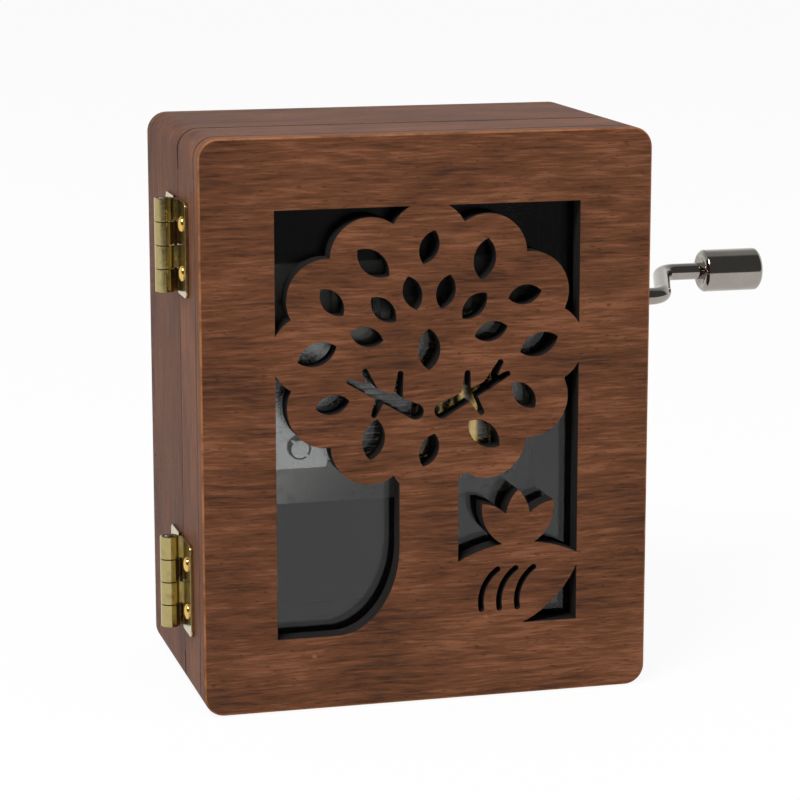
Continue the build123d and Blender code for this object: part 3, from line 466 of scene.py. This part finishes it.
# ---------------------------------------------------------------------------------------------
# The back: a thin panel glued over the boards, of the same stained wood, with four countersunk
# holes for the screws that hold the movement.
back_face_y = 20.75 * mm
back_inner_y = 17.55 * mm

back_shape = whole_shape("back_panel")
ease(back_shape, 0.35 * mm, lambda edge: outer_rim(edge) and edge.verts[0].co.y > back_face_y - touching)
ease(back_shape, 0.12 * mm, lambda edge: outer_rim(edge) and edge.verts[0].co.y < back_inner_y + touching, steps=2)


def back_finish(face):
    """The panel is stained outside and black inside the case."""
    middle = face.calc_center_median()
    return int(middle.y < back_inner_y + touching and abs(face.normal.y) > 0.5)


back_wood = stained_board("back_wood", case_tones, turned=False, edge_tone=worn_wood, edge_amount=0.5, streaks=1.0)
put_together("case_back_panel", back_shape, (back_wood, near_black_inside), "case", ["back_panel"], back_finish)


# ---------------------------------------------------------------------------------------------
# The door's frame: four boards sawn from the same box, so that their grain runs on from the case
# across the open line between the two.
door_tones = (colour(68, 42, 33), colour(102, 63, 43), colour(130, 84, 57))
# The door boards' eased edges are painted near-black: painted shade in the seams.
door_wood = stained_board("door_wood", door_tones, turned=True, edge_tone=painted_seam_shade, edge_amount=0.95)
for board_name, board_node in (
    ("door_top_board", "door_top_rail"),
    ("door_bottom_board", "door_bottom_rail"),
    ("door_hinge_board", "door_hinge_stile"),
    ("door_latch_board", "door_latch_stile"),
):
    board_piece(board_name, board_node, door_wood)


# ---------------------------------------------------------------------------------------------
# The front: a plywood panel with a tree cut out by laser, which leaves the cut edges charred.
# The face is a redder veneer with its grain across, and the stain has rubbed off its rim.
front_face_y = -20.75 * mm
front_rim = 0.34 * mm
rim_depth = 1.0 * mm

front_dark = colour(60, 38, 28)
front_brown = colour(94, 58, 38)
front_light = colour(124, 80, 56)
charred_black = colour(9, 8, 8)

front_shape = whole_shape("fret_panel")
ease(front_shape, front_rim, lambda edge: outer_rim(edge) and edge.verts[0].co.y < front_face_y + touching, steps=4)
ease(front_shape, case_edge, lambda edge: outer_rim(edge) and edge.verts[0].co.y > front_face_y + rim_depth, steps=2)


def front_finish(face):
    """0 for the veneer on both faces and its rounded rim, 1 for the outer sides, 2 for the cut edges."""
    middle = face.calc_center_median()
    if abs(face.normal.y) > 0.5 or middle.y < front_face_y + front_rim:
        return 0
    inside = abs(middle.x) < outer_half_width - 1.5 * corner_radius
    inside = inside and 1.5 * corner_radius < middle.z < case_height - 1.5 * corner_radius
    return 2 if inside else 1


front_tones = (front_dark, front_brown, front_light)
front_wood = stained_board(
    "front_wood", front_tones, turned=False, edge_tone=worn_wood, edge_amount=1.0, streaks=1.0, clouds=1.2, specks=1.0
)

charred_edge, charred_tree, charred_shader = new_material("charred_edge")
charred_place, _ = place_in_millimetres(charred_tree)
charred_ply = noise(charred_tree, charred_place, (0.3, 3.0, 0.3), detail=3.0)
charred_tint = blend_colours(charred_tree, charred_ply, charred_black, colour(24, 17, 13))
charred_tree.links.new(charred_tint, charred_shader.inputs["Base Color"])
charred_tree.links.new(stretch(charred_tree, charred_ply, 0.3, 0.7, 0.6, 0.85), charred_shader.inputs["Roughness"])
bumped(charred_tree, charred_shader, charred_ply, 0.05 * mm)

put_together(
    "front_panel", front_shape, (front_wood, door_wood, charred_edge), "door", ["fret_panel"], front_finish
)


# ---------------------------------------------------------------------------------------------
# The window: a sheet of clear acrylic behind the panel, between the door's boards. It mirrors the
# table low down and the dim room higher up.
pane_shape = whole_shape("window_pane")
ease(pane_shape, 0.15 * mm, lambda edge: True, steps=2)

clear_pane, pane_tree, pane_shader = new_material("clear_pane")
pane_place, _ = place_in_millimetres(pane_tree)
pane_smears = noise(pane_tree, pane_place, (0.09, 0.09, 0.16), detail=4.0, roughness=0.6)
pane_tree.links.new(stretch(pane_tree, pane_smears, 0.45, 0.8, 0.02, 0.10), pane_shader.inputs["Roughness"])
pane_shader.inputs["Base Color"].default_value = (0.93, 0.95, 0.95, 1.0)
pane_shader.inputs["IOR"].default_value = 1.40
pane_shader.inputs["Transmission Weight"].default_value = 1.0
bumped(pane_tree, pane_shader, noise(pane_tree, pane_place, (0.035, 0.035, 0.05), detail=1.0), 0.01 * mm)
put_together("clear_window", pane_shape, (clear_pane,), "door", ["window_pane"])


# ---------------------------------------------------------------------------------------------
# The catch: two small nickelled magnets, one let into the door and one into the case, opposite
# each other in the boards on the crank's side.
def metal(name, base, bright, rough, rougher, relief, grain=(0.6, 0.6, 0.6), tarnish=None, tarnish_share=0.4):
    """A metal with cloudy polish, fine scratches, and a duller film where it has tarnished."""
    made, tree, shader = new_material(name)
    place, _ = place_in_millimetres(tree)
    film = noise(tree, place, (0.35, 0.35, 0.35), detail=4.0, roughness=0.6)
    scratch = noise(tree, place, grain, detail=4.0, roughness=0.7)
    tint = blend_colours(tree, film, base, bright)
    if tarnish:
        share = math(tree, "MULTIPLY", stretch(tree, film, 0.48, 0.70), tarnish_share)
        tint = blend_colours(tree, share, tint, tarnish)
    tree.links.new(tint, shader.inputs["Base Color"])
    shader.inputs["Metallic"].default_value = 1.0
    tree.links.new(stretch(tree, scratch, 0.3, 0.7, rough, rougher), shader.inputs["Roughness"])
    bumped(tree, shader, scratch, relief)
    return made


nickel = metal("polished_nickel", colour(142, 136, 130), colour(164, 158, 150), 0.06, 0.14, 0.003 * mm, (0.25, 2.0, 2.0))
for magnet_name, magnet_node in (("case_magnet", "body_magnet"), ("catch_magnet", "door_magnet")):
    magnet_shape = whole_shape(magnet_node)
    ease(magnet_shape, 0.2 * mm, lambda edge: True)
    put_together(magnet_name, magnet_shape, (nickel,), carrier[magnet_node], [magnet_node])


# ---------------------------------------------------------------------------------------------
# The hinges: pressed from thin brass sheet, with each leaf's tongues curled round a steel pin.
# The brass has gone olive where it is handled least.
hinge_brass = metal(
    "hinge_brass", colour(164, 148, 98), colour(188, 172, 120), 0.13, 0.24, 0.004 * mm, (0.8, 0.8, 3.0),
    tarnish=colour(116, 104, 68), tarnish_share=0.5,
)
steel = metal("bright_steel", colour(132, 132, 132), colour(162, 161, 158), 0.14, 0.28, 0.005 * mm, (0.6, 0.6, 4.0))
for hinge_place in ("upper", "lower"):
    for leaf_name in ("body_leaf", "door_leaf"):
        leaf_node = f"{hinge_place}_hinge_{leaf_name}"
        leaf_shape = whole_shape(leaf_node)
        ease(leaf_shape, 0.09 * mm, lambda edge: True, steps=2)
        put_together(f"{hinge_place}_{leaf_name}", leaf_shape, (hinge_brass,), carrier[leaf_node], [leaf_node])
    pin_node = f"{hinge_place}_hinge_pin"
    pin_shape = whole_shape(pin_node)
    ease(pin_shape, 0.12 * mm, lambda edge: True, steps=2)
    put_together(f"{hinge_place}_pin", pin_shape, (steel,), carrier[pin_node], [pin_node])


# ---------------------------------------------------------------------------------------------
# The hinges' nails: round brass heads, two in each leaf.
def turned_shape(profile, steps=32):
    """A closed solid turned about Z from (radius, height) points that start and end on the axis."""
    shape = bmesh.new()
    rings = []
    for radius, height in profile:
        if radius < touching * 0.01:
            rings.append([shape.verts.new((0, 0, height))])
        else:
            turns = [2 * pi * step / steps for step in range(steps)]
            rings.append([shape.verts.new((radius * cos(turn), radius * sin(turn), height)) for turn in turns])
    for lower, upper in zip(rings, rings[1:]):
        for step in range(steps):
            after = (step + 1) % steps
            corners = [lower[step % len(lower)], lower[after % len(lower)], upper[after % len(upper)], upper[step % len(upper)]]
            shape.faces.new(list(dict.fromkeys(corners)))
    bmesh.ops.recalc_face_normals(shape, faces=shape.faces)
    return shape


def new_tree(name, inputs):
    """An empty geometry tree with the inputs given as (name, kind, value)."""
    tree = bpy.data.node_groups.new(name, "GeometryNodeTree")
    tree.interface.new_socket("Geometry", in_out="OUTPUT", socket_type="NodeSocketGeometry")
    for socket_name, kind, value in inputs:
        socket = tree.interface.new_socket(socket_name, in_out="INPUT", socket_type=kind)
        if value is not None:
            socket.default_value = value
    return tree, tree.nodes.new("NodeGroupInput").outputs


def end_tree(tree, geometry, material):
    """Closes a geometry tree: everything real, and in one material."""
    real = wire(tree, "GeometryNodeRealizeInstances", {"Geometry": geometry}).outputs[0]
    coated = wire(tree, "GeometryNodeSetMaterial", {"Geometry": real, "Material": material}).outputs[0]
    tree.links.new(coated, tree.nodes.new("NodeGroupOutput").inputs[0])


fastener_tree, fastener_in = new_tree(
    "fasteners_at_places",
    (
        ("Geometry", "NodeSocketGeometry", None),
        ("Fastener", "NodeSocketObject", None),
        ("Facing", "NodeSocketVector", (0.0, 0.0, 0.0)),
        ("Largest turn", "NodeSocketFloat", pi),
        ("Seed", "NodeSocketInt", 0),
        ("Material", "NodeSocketMaterial", None),
    ),
)
fastener = wire(fastener_tree, "GeometryNodeObjectInfo", {"Object": fastener_in["Fastener"]}).outputs["Geometry"]
own_turn = wire(
    fastener_tree, "FunctionNodeRandomValue", {2: 0.0, 3: fastener_in["Largest turn"], 8: fastener_in["Seed"]},
    data_type="FLOAT",
).outputs[1]
own_turn = wire(fastener_tree, "ShaderNodeCombineXYZ", {2: own_turn}).outputs[0]
set_in = wire(
    fastener_tree, "GeometryNodeInstanceOnPoints",
    {"Points": fastener_in["Geometry"], "Instance": fastener, "Rotation": fastener_in["Facing"]},
).outputs[0]
screwed_in = wire(fastener_tree, "GeometryNodeRotateInstances", {"Instances": set_in, "Rotation": own_turn}).outputs[0]
end_tree(fastener_tree, screwed_in, fastener_in["Material"])


def loose_points(name, points):
    """A mesh of points alone, for a geometry tree to set things on."""
    mesh = bpy.data.meshes.new(name)
    mesh.from_pydata([tuple(point) for point in points], [], [])
    return mesh


def mesh_of(name, shape):
    """The mesh of a shape, smooth but for edges sharper than sharp_angle."""
    for edge in shape.edges:
        edge.smooth = edge.is_manifold and edge.calc_face_angle() < sharp_angle
    for face in shape.faces:
        face.smooth = True
    mesh = bpy.data.meshes.new(name)
    shape.to_mesh(mesh)
    shape.free()
    return mesh


def grown(name, tree, values, start, pattern, body, replaced):
    """Runs a geometry tree on a mesh, with its inputs set by name, and keeps the plain result. The
    input named first in pattern gets the shape that is repeated."""
    piece = new_object(name, start)
    repeated = new_object(name + "_pattern", mesh_of(name + "_pattern", pattern[1]))
    modifier = piece.modifiers.new("made by rule", "NODES")
    modifier.node_group = tree
    identifiers = {item.name: item.identifier for item in tree.interface.items_tree if item.in_out == "INPUT"}
    for socket_name, value in {**values, pattern[0]: repeated}.items():
        modifier[identifiers[socket_name]] = value
    weighted = piece.modifiers.new("flat faces", "WEIGHTED_NORMAL")
    weighted.keep_sharp = True
    weighted.weight = 100
    piece.update_tag()
    bpy.context.view_layer.update()
    finished = bpy.data.meshes.new_from_object(piece.evaluated_get(bpy.context.evaluated_depsgraph_get()))
    piece.modifiers.clear()
    piece.data = finished
    bpy.data.meshes.remove(start)
    pattern_mesh = repeated.data
    bpy.data.objects.remove(repeated)
    bpy.data.meshes.remove(pattern_mesh)
    finished.name = name
    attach(piece, body)
    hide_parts(*replaced)
    return piece


def set_fasteners(name, shape, points, facing, material, node, seed=0):
    """Sets copies of one fastener at the points. Its head's axis, Z, is turned by facing."""
    values = {"Facing": facing, "Seed": seed, "Material": material}
    start = loose_points(name, points)
    return grown(name, fastener_tree, values, start, ("Fastener", shape), carrier[node], [node])


nail_head_radius = 1.2 * mm
nail_head_height = 0.5 * mm
nail_shank_radius = 0.5 * mm
nail_length = 4.0 * mm
hinge_line_y = -5.4 * mm
nail_from_line = 4.675 * mm
nail_spacing = 7.2 * mm
leaf_face_x = -34.5 * mm
hinge_middles = (68.0 * mm, 17.0 * mm)
dome_steps = 8
towards_left = (0.0, -pi / 2, 0.0)

nail_dome = [
    (nail_head_radius * cos(pi / 2 * step / dome_steps), nail_head_height * sin(pi / 2 * step / dome_steps))
    for step in range(dome_steps + 1)
]
nail_profile = [
    (0.0, -nail_length), (nail_shank_radius * 0.3, -nail_length + 0.3 * mm), (nail_shank_radius, -nail_length + 1.2 * mm),
    (nail_shank_radius, 0.0), *nail_dome,
]
nail_brass = metal("nail_brass", colour(210, 166, 78), colour(236, 198, 112), 0.10, 0.20, 0.003 * mm)
for nails_name, nails_node, nails_side in (
    ("door_nails", "door_hinge_nails", -1),
    ("case_nails", "body_hinge_nails", 1),
):
    nail_places = [
        (leaf_face_x, hinge_line_y + nails_side * nail_from_line, middle + side * nail_spacing / 2)
        for middle in hinge_middles
        for side in (-1, 1)
    ]
    set_fasteners(nails_name, turned_shape(nail_profile), nail_places, towards_left, nail_brass, nails_node)


# ---------------------------------------------------------------------------------------------
# The movement's frame: a die-cast zinc plate on the back panel, with bearings and posts of bent
# sheet metal for the cylinder and for the crank's shaft.
cast_metal = metal(
    "cast_metal", colour(150, 148, 144), colour(182, 179, 172), 0.32, 0.5, 0.03 * mm, (1.6, 1.6, 1.6),
    tarnish=colour(96, 92, 84), tarnish_share=0.5,
)
for plate_name, plate_node, plate_edge in (
    ("movement_plate", "bedplate", 0.25 * mm),
    ("upper_bearing", "upper_cylinder_bearing", 0.15 * mm),
    ("lower_bearing", "lower_cylinder_bearing", 0.15 * mm),
    ("inner_post", "inner_crank_post", 0.15 * mm),
    ("outer_post", "outer_crank_post", 0.15 * mm),
):
    plate_shape = whole_shape(plate_node)
    ease(plate_shape, plate_edge, lambda edge: True, steps=2)
    put_together(plate_name, plate_shape, (cast_metal,), carrier[plate_node], [plate_node])


# ---------------------------------------------------------------------------------------------
# The comb: a plate of hardened steel with eighteen teeth, longest for the lowest note, and lead
# soldered under the ends of the longest ones. It is screwed down on the plate's raised seat.
comb_left_x = -19.4 * mm
comb_tip_x = 2.6 * mm
comb_front_y = -0.4 * mm
comb_back_y = 0.6 * mm
comb_bottom_z = 32.1 * mm
comb_top_z = 51.7 * mm
long_tooth = 13.5 * mm
short_tooth = 9.5 * mm
tooth_back_y = 0.4 * mm
tooth_thickness = 0.6 * mm
tooth_width = 0.72 * mm
tooth_count = 18
note_pitch = 1.0 * mm
first_note_z = 33.4 * mm
screw_hole_radius = 1.0 * mm
screw_place_x = -15.15 * mm
screw_from_middle = 6.533 * mm


def plate_with_holes(outline, holes, radius, front_y, back_y, steps=32):
    """A flat plate upright in the case, from its (x, z) outline, with round holes."""
    shape = bmesh.new()
    turns = [2 * pi * step / steps for step in range(steps)]
    rings = [outline] + [[(x + radius * cos(turn), z + radius * sin(turn)) for turn in turns] for x, z in holes]
    for ring in rings:
        made = [shape.verts.new((x, front_y, z)) for x, z in ring]
        for first, second in zip(made, made[1:] + made[:1]):
            shape.edges.new((first, second))
    bmesh.ops.triangle_fill(shape, use_beauty=True, edges=shape.edges)
    pulled = bmesh.ops.extrude_face_region(shape, geom=shape.faces[:])
    moved = [item for item in pulled["geom"] if isinstance(item, bmesh.types.BMVert)]
    bmesh.ops.translate(shape, verts=moved, vec=(0.0, back_y - front_y, 0.0))
    bmesh.ops.recalc_face_normals(shape, faces=shape.faces)
    bmesh.ops.dissolve_limit(shape, angle_limit=radians(0.3), verts=shape.verts, edges=shape.edges)
    return shape


def block(low, high):
    """A plain block between two corners."""
    shape = bmesh.new()
    bmesh.ops.create_cube(shape, size=1.0)
    for vertex in shape.verts:
        vertex.co = [low[axis] + (vertex.co[axis] + 0.5) * (high[axis] - low[axis]) for axis in range(3)]
    return shape


comb_tree, comb_in = new_tree(
    "teeth_on_a_plate",
    (
        ("Geometry", "NodeSocketGeometry", None),
        ("Tooth", "NodeSocketObject", None),
        ("Teeth", "NodeSocketInt", 1),
        ("First", "NodeSocketVector", (0.0, 0.0, 0.0)),
        ("Pitch", "NodeSocketFloat", 0.0),
        ("Longest", "NodeSocketFloat", 1.0),
        ("Shortest", "NodeSocketFloat", 1.0),
        ("Material", "NodeSocketMaterial", None),
    ),
)
tooth_index = wire(comb_tree, "GeometryNodeInputIndex").outputs[0]
tooth_step = wire(comb_tree, "ShaderNodeCombineXYZ", {2: math(comb_tree, "MULTIPLY", tooth_index, comb_in["Pitch"])})
tooth_place = wire(
    comb_tree, "ShaderNodeVectorMath", {0: comb_in["First"], 1: tooth_step.outputs[0]}, operation="ADD"
).outputs[0]
tooth_share = math(comb_tree, "DIVIDE", tooth_index, math(comb_tree, "SUBTRACT", comb_in["Teeth"], 1.0))
tooth_reach = wire(
    comb_tree, "ShaderNodeMix", {0: tooth_share, 2: comb_in["Longest"], 3: comb_in["Shortest"]}, data_type="FLOAT"
).outputs[0]
tooth_scale = wire(comb_tree, "ShaderNodeCombineXYZ", {0: tooth_reach, 1: 1.0, 2: 1.0}).outputs[0]
tooth_points = wire(comb_tree, "GeometryNodePoints", {"Count": comb_in["Teeth"], "Position": tooth_place}).outputs[0]
tooth_shape = wire(comb_tree, "GeometryNodeObjectInfo", {"Object": comb_in["Tooth"]}).outputs["Geometry"]
teeth = wire(
    comb_tree, "GeometryNodeInstanceOnPoints", {"Points": tooth_points, "Instance": tooth_shape, "Scale": tooth_scale}
).outputs[0]
comb_whole = comb_tree.nodes.new("GeometryNodeJoinGeometry")
comb_tree.links.new(comb_in["Geometry"], comb_whole.inputs[0])
comb_tree.links.new(teeth, comb_whole.inputs[0])
end_tree(comb_tree, comb_whole.outputs[0], comb_in["Material"])

comb_outline = [
    (comb_left_x, comb_bottom_z),
    (comb_tip_x - long_tooth, comb_bottom_z),
    (comb_tip_x - short_tooth, comb_top_z),
    (comb_left_x, comb_top_z),
]
comb_middle_z = (comb_bottom_z + comb_top_z) / 2
comb_holes = [(screw_place_x, comb_middle_z + side * screw_from_middle) for side in (-1, 1)]
comb_plate = plate_with_holes(comb_outline, comb_holes, screw_hole_radius, comb_front_y, comb_back_y)
ease(comb_plate, 0.06 * mm, lambda edge: True, steps=2)
tooth = block((-1.0, tooth_back_y - tooth_thickness, -tooth_width / 2), (0.0, tooth_back_y, tooth_width / 2))
ease(tooth, 0.05 * mm, lambda edge: abs(edge.verts[0].co.x - edge.verts[1].co.x) > 0.5, steps=2)
tooth_values = {
    "Teeth": tooth_count,
    "First": (comb_tip_x, 0.0, first_note_z),
    "Pitch": note_pitch,
    "Longest": long_tooth + screw_hole_radius,
    "Shortest": short_tooth + screw_hole_radius,
    "Material": steel,
}
grown(
    "steel_comb", comb_tree, tooth_values, mesh_of("comb_plate", comb_plate), ("Tooth", tooth), "case", ["comb"]
)

lead = metal("dull_lead", colour(96, 97, 100), colour(122, 123, 126), 0.45, 0.65, 0.04 * mm, (2.0, 2.0, 2.0))
lead_shape = whole_shape("comb_weights")
ease(lead_shape, 0.1 * mm, lambda edge: True, steps=2)
put_together("comb_leads", lead_shape, (lead,), "case", ["comb_weights"])


# ---------------------------------------------------------------------------------------------
# The screws: four countersunk ones through the back panel, and pan heads for the comb and for the
# feet of bearings and posts. Each slot stands at its own angle, as a screw is left when tight.
towards_front = (pi / 2, 0.0, 0.0)
towards_back = (-pi / 2, 0.0, 0.0)


def solids_of(shape):
    """The separate solids of a shape, each as a list of its corners."""
    left, found = set(shape.verts), []
    while left:
        front = [left.pop()]
        solid = list(front)
        while front:
            near = {edge.other_vert(vertex) for vertex in front for edge in vertex.link_edges} & left
            left -= near
            solid += near
            front = list(near)
        found.append(solid)
    return found


for screws_name, screws_node, screws_facing, screws_seed in (
    ("movement_fixings", "movement_screws", towards_back, 4),
    ("comb_fixings", "comb_screws", towards_front, 7),
    ("bearing_fixings", "bearing_screws", towards_front, 2),
):
    screw = whole_shape(screws_node)
    solids = solids_of(screw)
    middles = [sum((vertex.co for vertex in solid), Vector()) / len(solid) for solid in solids]
    bmesh.ops.delete(screw, geom=[vertex for solid in solids[1:] for vertex in solid], context="VERTS")
    screw.transform(Euler(screws_facing).to_matrix().to_4x4().inverted() @ Matrix.Translation(-middles[0]))
    ease(screw, 0.07 * mm, lambda edge: True, steps=2)
    set_fasteners(screws_name, screw, middles, screws_facing, steel, screws_node, screws_seed)


# ---------------------------------------------------------------------------------------------
# The cylinder: a brass tube with moulded plugs on a steel arbor. Its steel pins are set in rows,
# four for each note, by a fixed rule that stands for a tune.
cylinder_axis = (10.0 * mm, 0.1 * mm)
drum_radius = 6.4 * mm
drum_wall = 0.6 * mm
pin_radius = 0.22 * mm
pin_height = 0.8 * mm
pins_per_note = 4
note_turn = radians(97)
pin_drift = radians(11)

drum_brass = metal("drum_brass", colour(196, 160, 88), colour(222, 190, 118), 0.16, 0.28, 0.006 * mm, (0.3, 0.3, 6.0))

wheel_plastic, plastic_tree, plastic_shader = new_material("wheel_plastic")
plastic_place, _ = place_in_millimetres(plastic_tree)
plastic_cloud = noise(plastic_tree, plastic_place, (0.5, 0.5, 0.5), detail=3.0)
plastic_tint = blend_colours(plastic_tree, plastic_cloud, colour(206, 202, 190), colour(226, 223, 214))
plastic_tree.links.new(plastic_tint, plastic_shader.inputs["Base Color"])
plastic_tree.links.new(stretch(plastic_tree, plastic_cloud, 0.3, 0.7, 0.36, 0.5), plastic_shader.inputs["Roughness"])
bumped(plastic_tree, plastic_shader, plastic_cloud, 0.02 * mm)

pin_tree, pin_in = new_tree(
    "pins_round_a_drum",
    (
        ("Geometry", "NodeSocketGeometry", None),
        ("Pin", "NodeSocketObject", None),
        ("Pins", "NodeSocketInt", 1),
        ("Pins per note", "NodeSocketInt", 1),
        ("Pitch", "NodeSocketFloat", 0.0),
        ("Note turn", "NodeSocketFloat", 0.0),
        ("Drift", "NodeSocketFloat", 0.0),
        ("Radius", "NodeSocketFloat", 1.0),
        ("Axis", "NodeSocketVector", (0.0, 0.0, 0.0)),
        ("Material", "NodeSocketMaterial", None),
    ),
)
pin_index = wire(pin_tree, "GeometryNodeInputIndex").outputs[0]
pin_note = math(pin_tree, "FLOOR", math(pin_tree, "DIVIDE", math(pin_tree, "ADD", pin_index, 0.5), pin_in["Pins per note"]))
pin_order = math(pin_tree, "SUBTRACT", pin_index, math(pin_tree, "MULTIPLY", pin_note, pin_in["Pins per note"]))
even_turn = math(pin_tree, "MULTIPLY", pin_order, math(pin_tree, "DIVIDE", 2 * pi, pin_in["Pins per note"]))
stray = math(pin_tree, "MULTIPLY", pin_order, math(pin_tree, "SUBTRACT", pin_order, 1.0))
stray = math(pin_tree, "MULTIPLY", stray, pin_in["Drift"])
pin_turn = math(pin_tree, "ADD", math(pin_tree, "MULTIPLY", pin_note, pin_in["Note turn"]), math(pin_tree, "ADD", even_turn, stray))
pin_out = wire(
    pin_tree, "ShaderNodeCombineXYZ",
    {
        0: math(pin_tree, "MULTIPLY", math(pin_tree, "COSINE", pin_turn), pin_in["Radius"]),
        1: math(pin_tree, "MULTIPLY", math(pin_tree, "SINE", pin_turn), pin_in["Radius"]),
        2: math(pin_tree, "MULTIPLY", pin_note, pin_in["Pitch"]),
    },
).outputs[0]
pin_place = wire(pin_tree, "ShaderNodeVectorMath", {0: pin_in["Axis"], 1: pin_out}, operation="ADD").outputs[0]
pin_points = wire(pin_tree, "GeometryNodePoints", {"Count": pin_in["Pins"], "Position": pin_place}).outputs[0]
pin_facing = wire(pin_tree, "ShaderNodeCombineXYZ", {1: pi / 2, 2: pin_turn}).outputs[0]
pin_shape = wire(pin_tree, "GeometryNodeObjectInfo", {"Object": pin_in["Pin"]}).outputs["Geometry"]
pins = wire(
    pin_tree, "GeometryNodeInstanceOnPoints", {"Points": pin_points, "Instance": pin_shape, "Rotation": pin_facing}
).outputs[0]
end_tree(pin_tree, pins, pin_in["Material"])

pin_profile = [
    (0.0, -drum_wall), (pin_radius, -drum_wall), (pin_radius, pin_height - 0.12 * mm),
    (pin_radius * 0.7, pin_height - 0.02 * mm), (0.0, pin_height),
]
pin_values = {
    "Pins": tooth_count * pins_per_note,
    "Pins per note": pins_per_note,
    "Pitch": note_pitch,
    "Note turn": note_turn,
    "Drift": pin_drift,
    "Radius": drum_radius,
    "Axis": (*cylinder_axis, first_note_z),
    "Material": steel,
}
grown(
    "drum_pins", pin_tree, pin_values, loose_points("drum_pins", []), ("Pin", turned_shape(pin_profile, 16)),
    "cylinder", ["cylinder_pins"],
)

for piece_name, piece_node, piece_finish, piece_slot, piece_edge in (
    ("drum_shell", "cylinder_drum", drum_brass, "drum_brass", 0.10 * mm),
    ("drum_plugs", "drum_end_plugs", wheel_plastic, "wheel_plastic", 0.12 * mm),
    ("drum_arbor", "cylinder_arbor", steel, "steel", 0.15 * mm),
    ("drum_wheel", "worm_wheel", wheel_plastic, "wheel_plastic", 0.05 * mm),
):
    piece_shape = whole_shape(piece_node)
    ease(piece_shape, piece_edge, lambda edge: True, steps=2)
    put_together(piece_name, piece_shape, (piece_finish,), "cylinder", [piece_node])


# ---------------------------------------------------------------------------------------------
# The crank: one bent wire of nickelled steel with the moulded worm on it, and a turned knob that
# spins on its end.
put_together("crank_worm", whole_shape("worm"), (wheel_plastic,), "crank", ["worm"])
for piece_name, piece_node, piece_edge in (
    ("crank_shaft", "crank_wire", 0.25 * mm),
    ("crank_handle", "crank_knob", 0.18 * mm),
):
    piece_shape = whole_shape(piece_node)
    ease(piece_shape, piece_edge, lambda edge: True)
    put_together(piece_name, piece_shape, (nickel,), carrier[piece_node], [piece_node])


# ---------------------------------------------------------------------------------------------
def corners(box):
    """A box as plain lists of numbers."""
    return [[float(number) for number in corner] for corner in box]
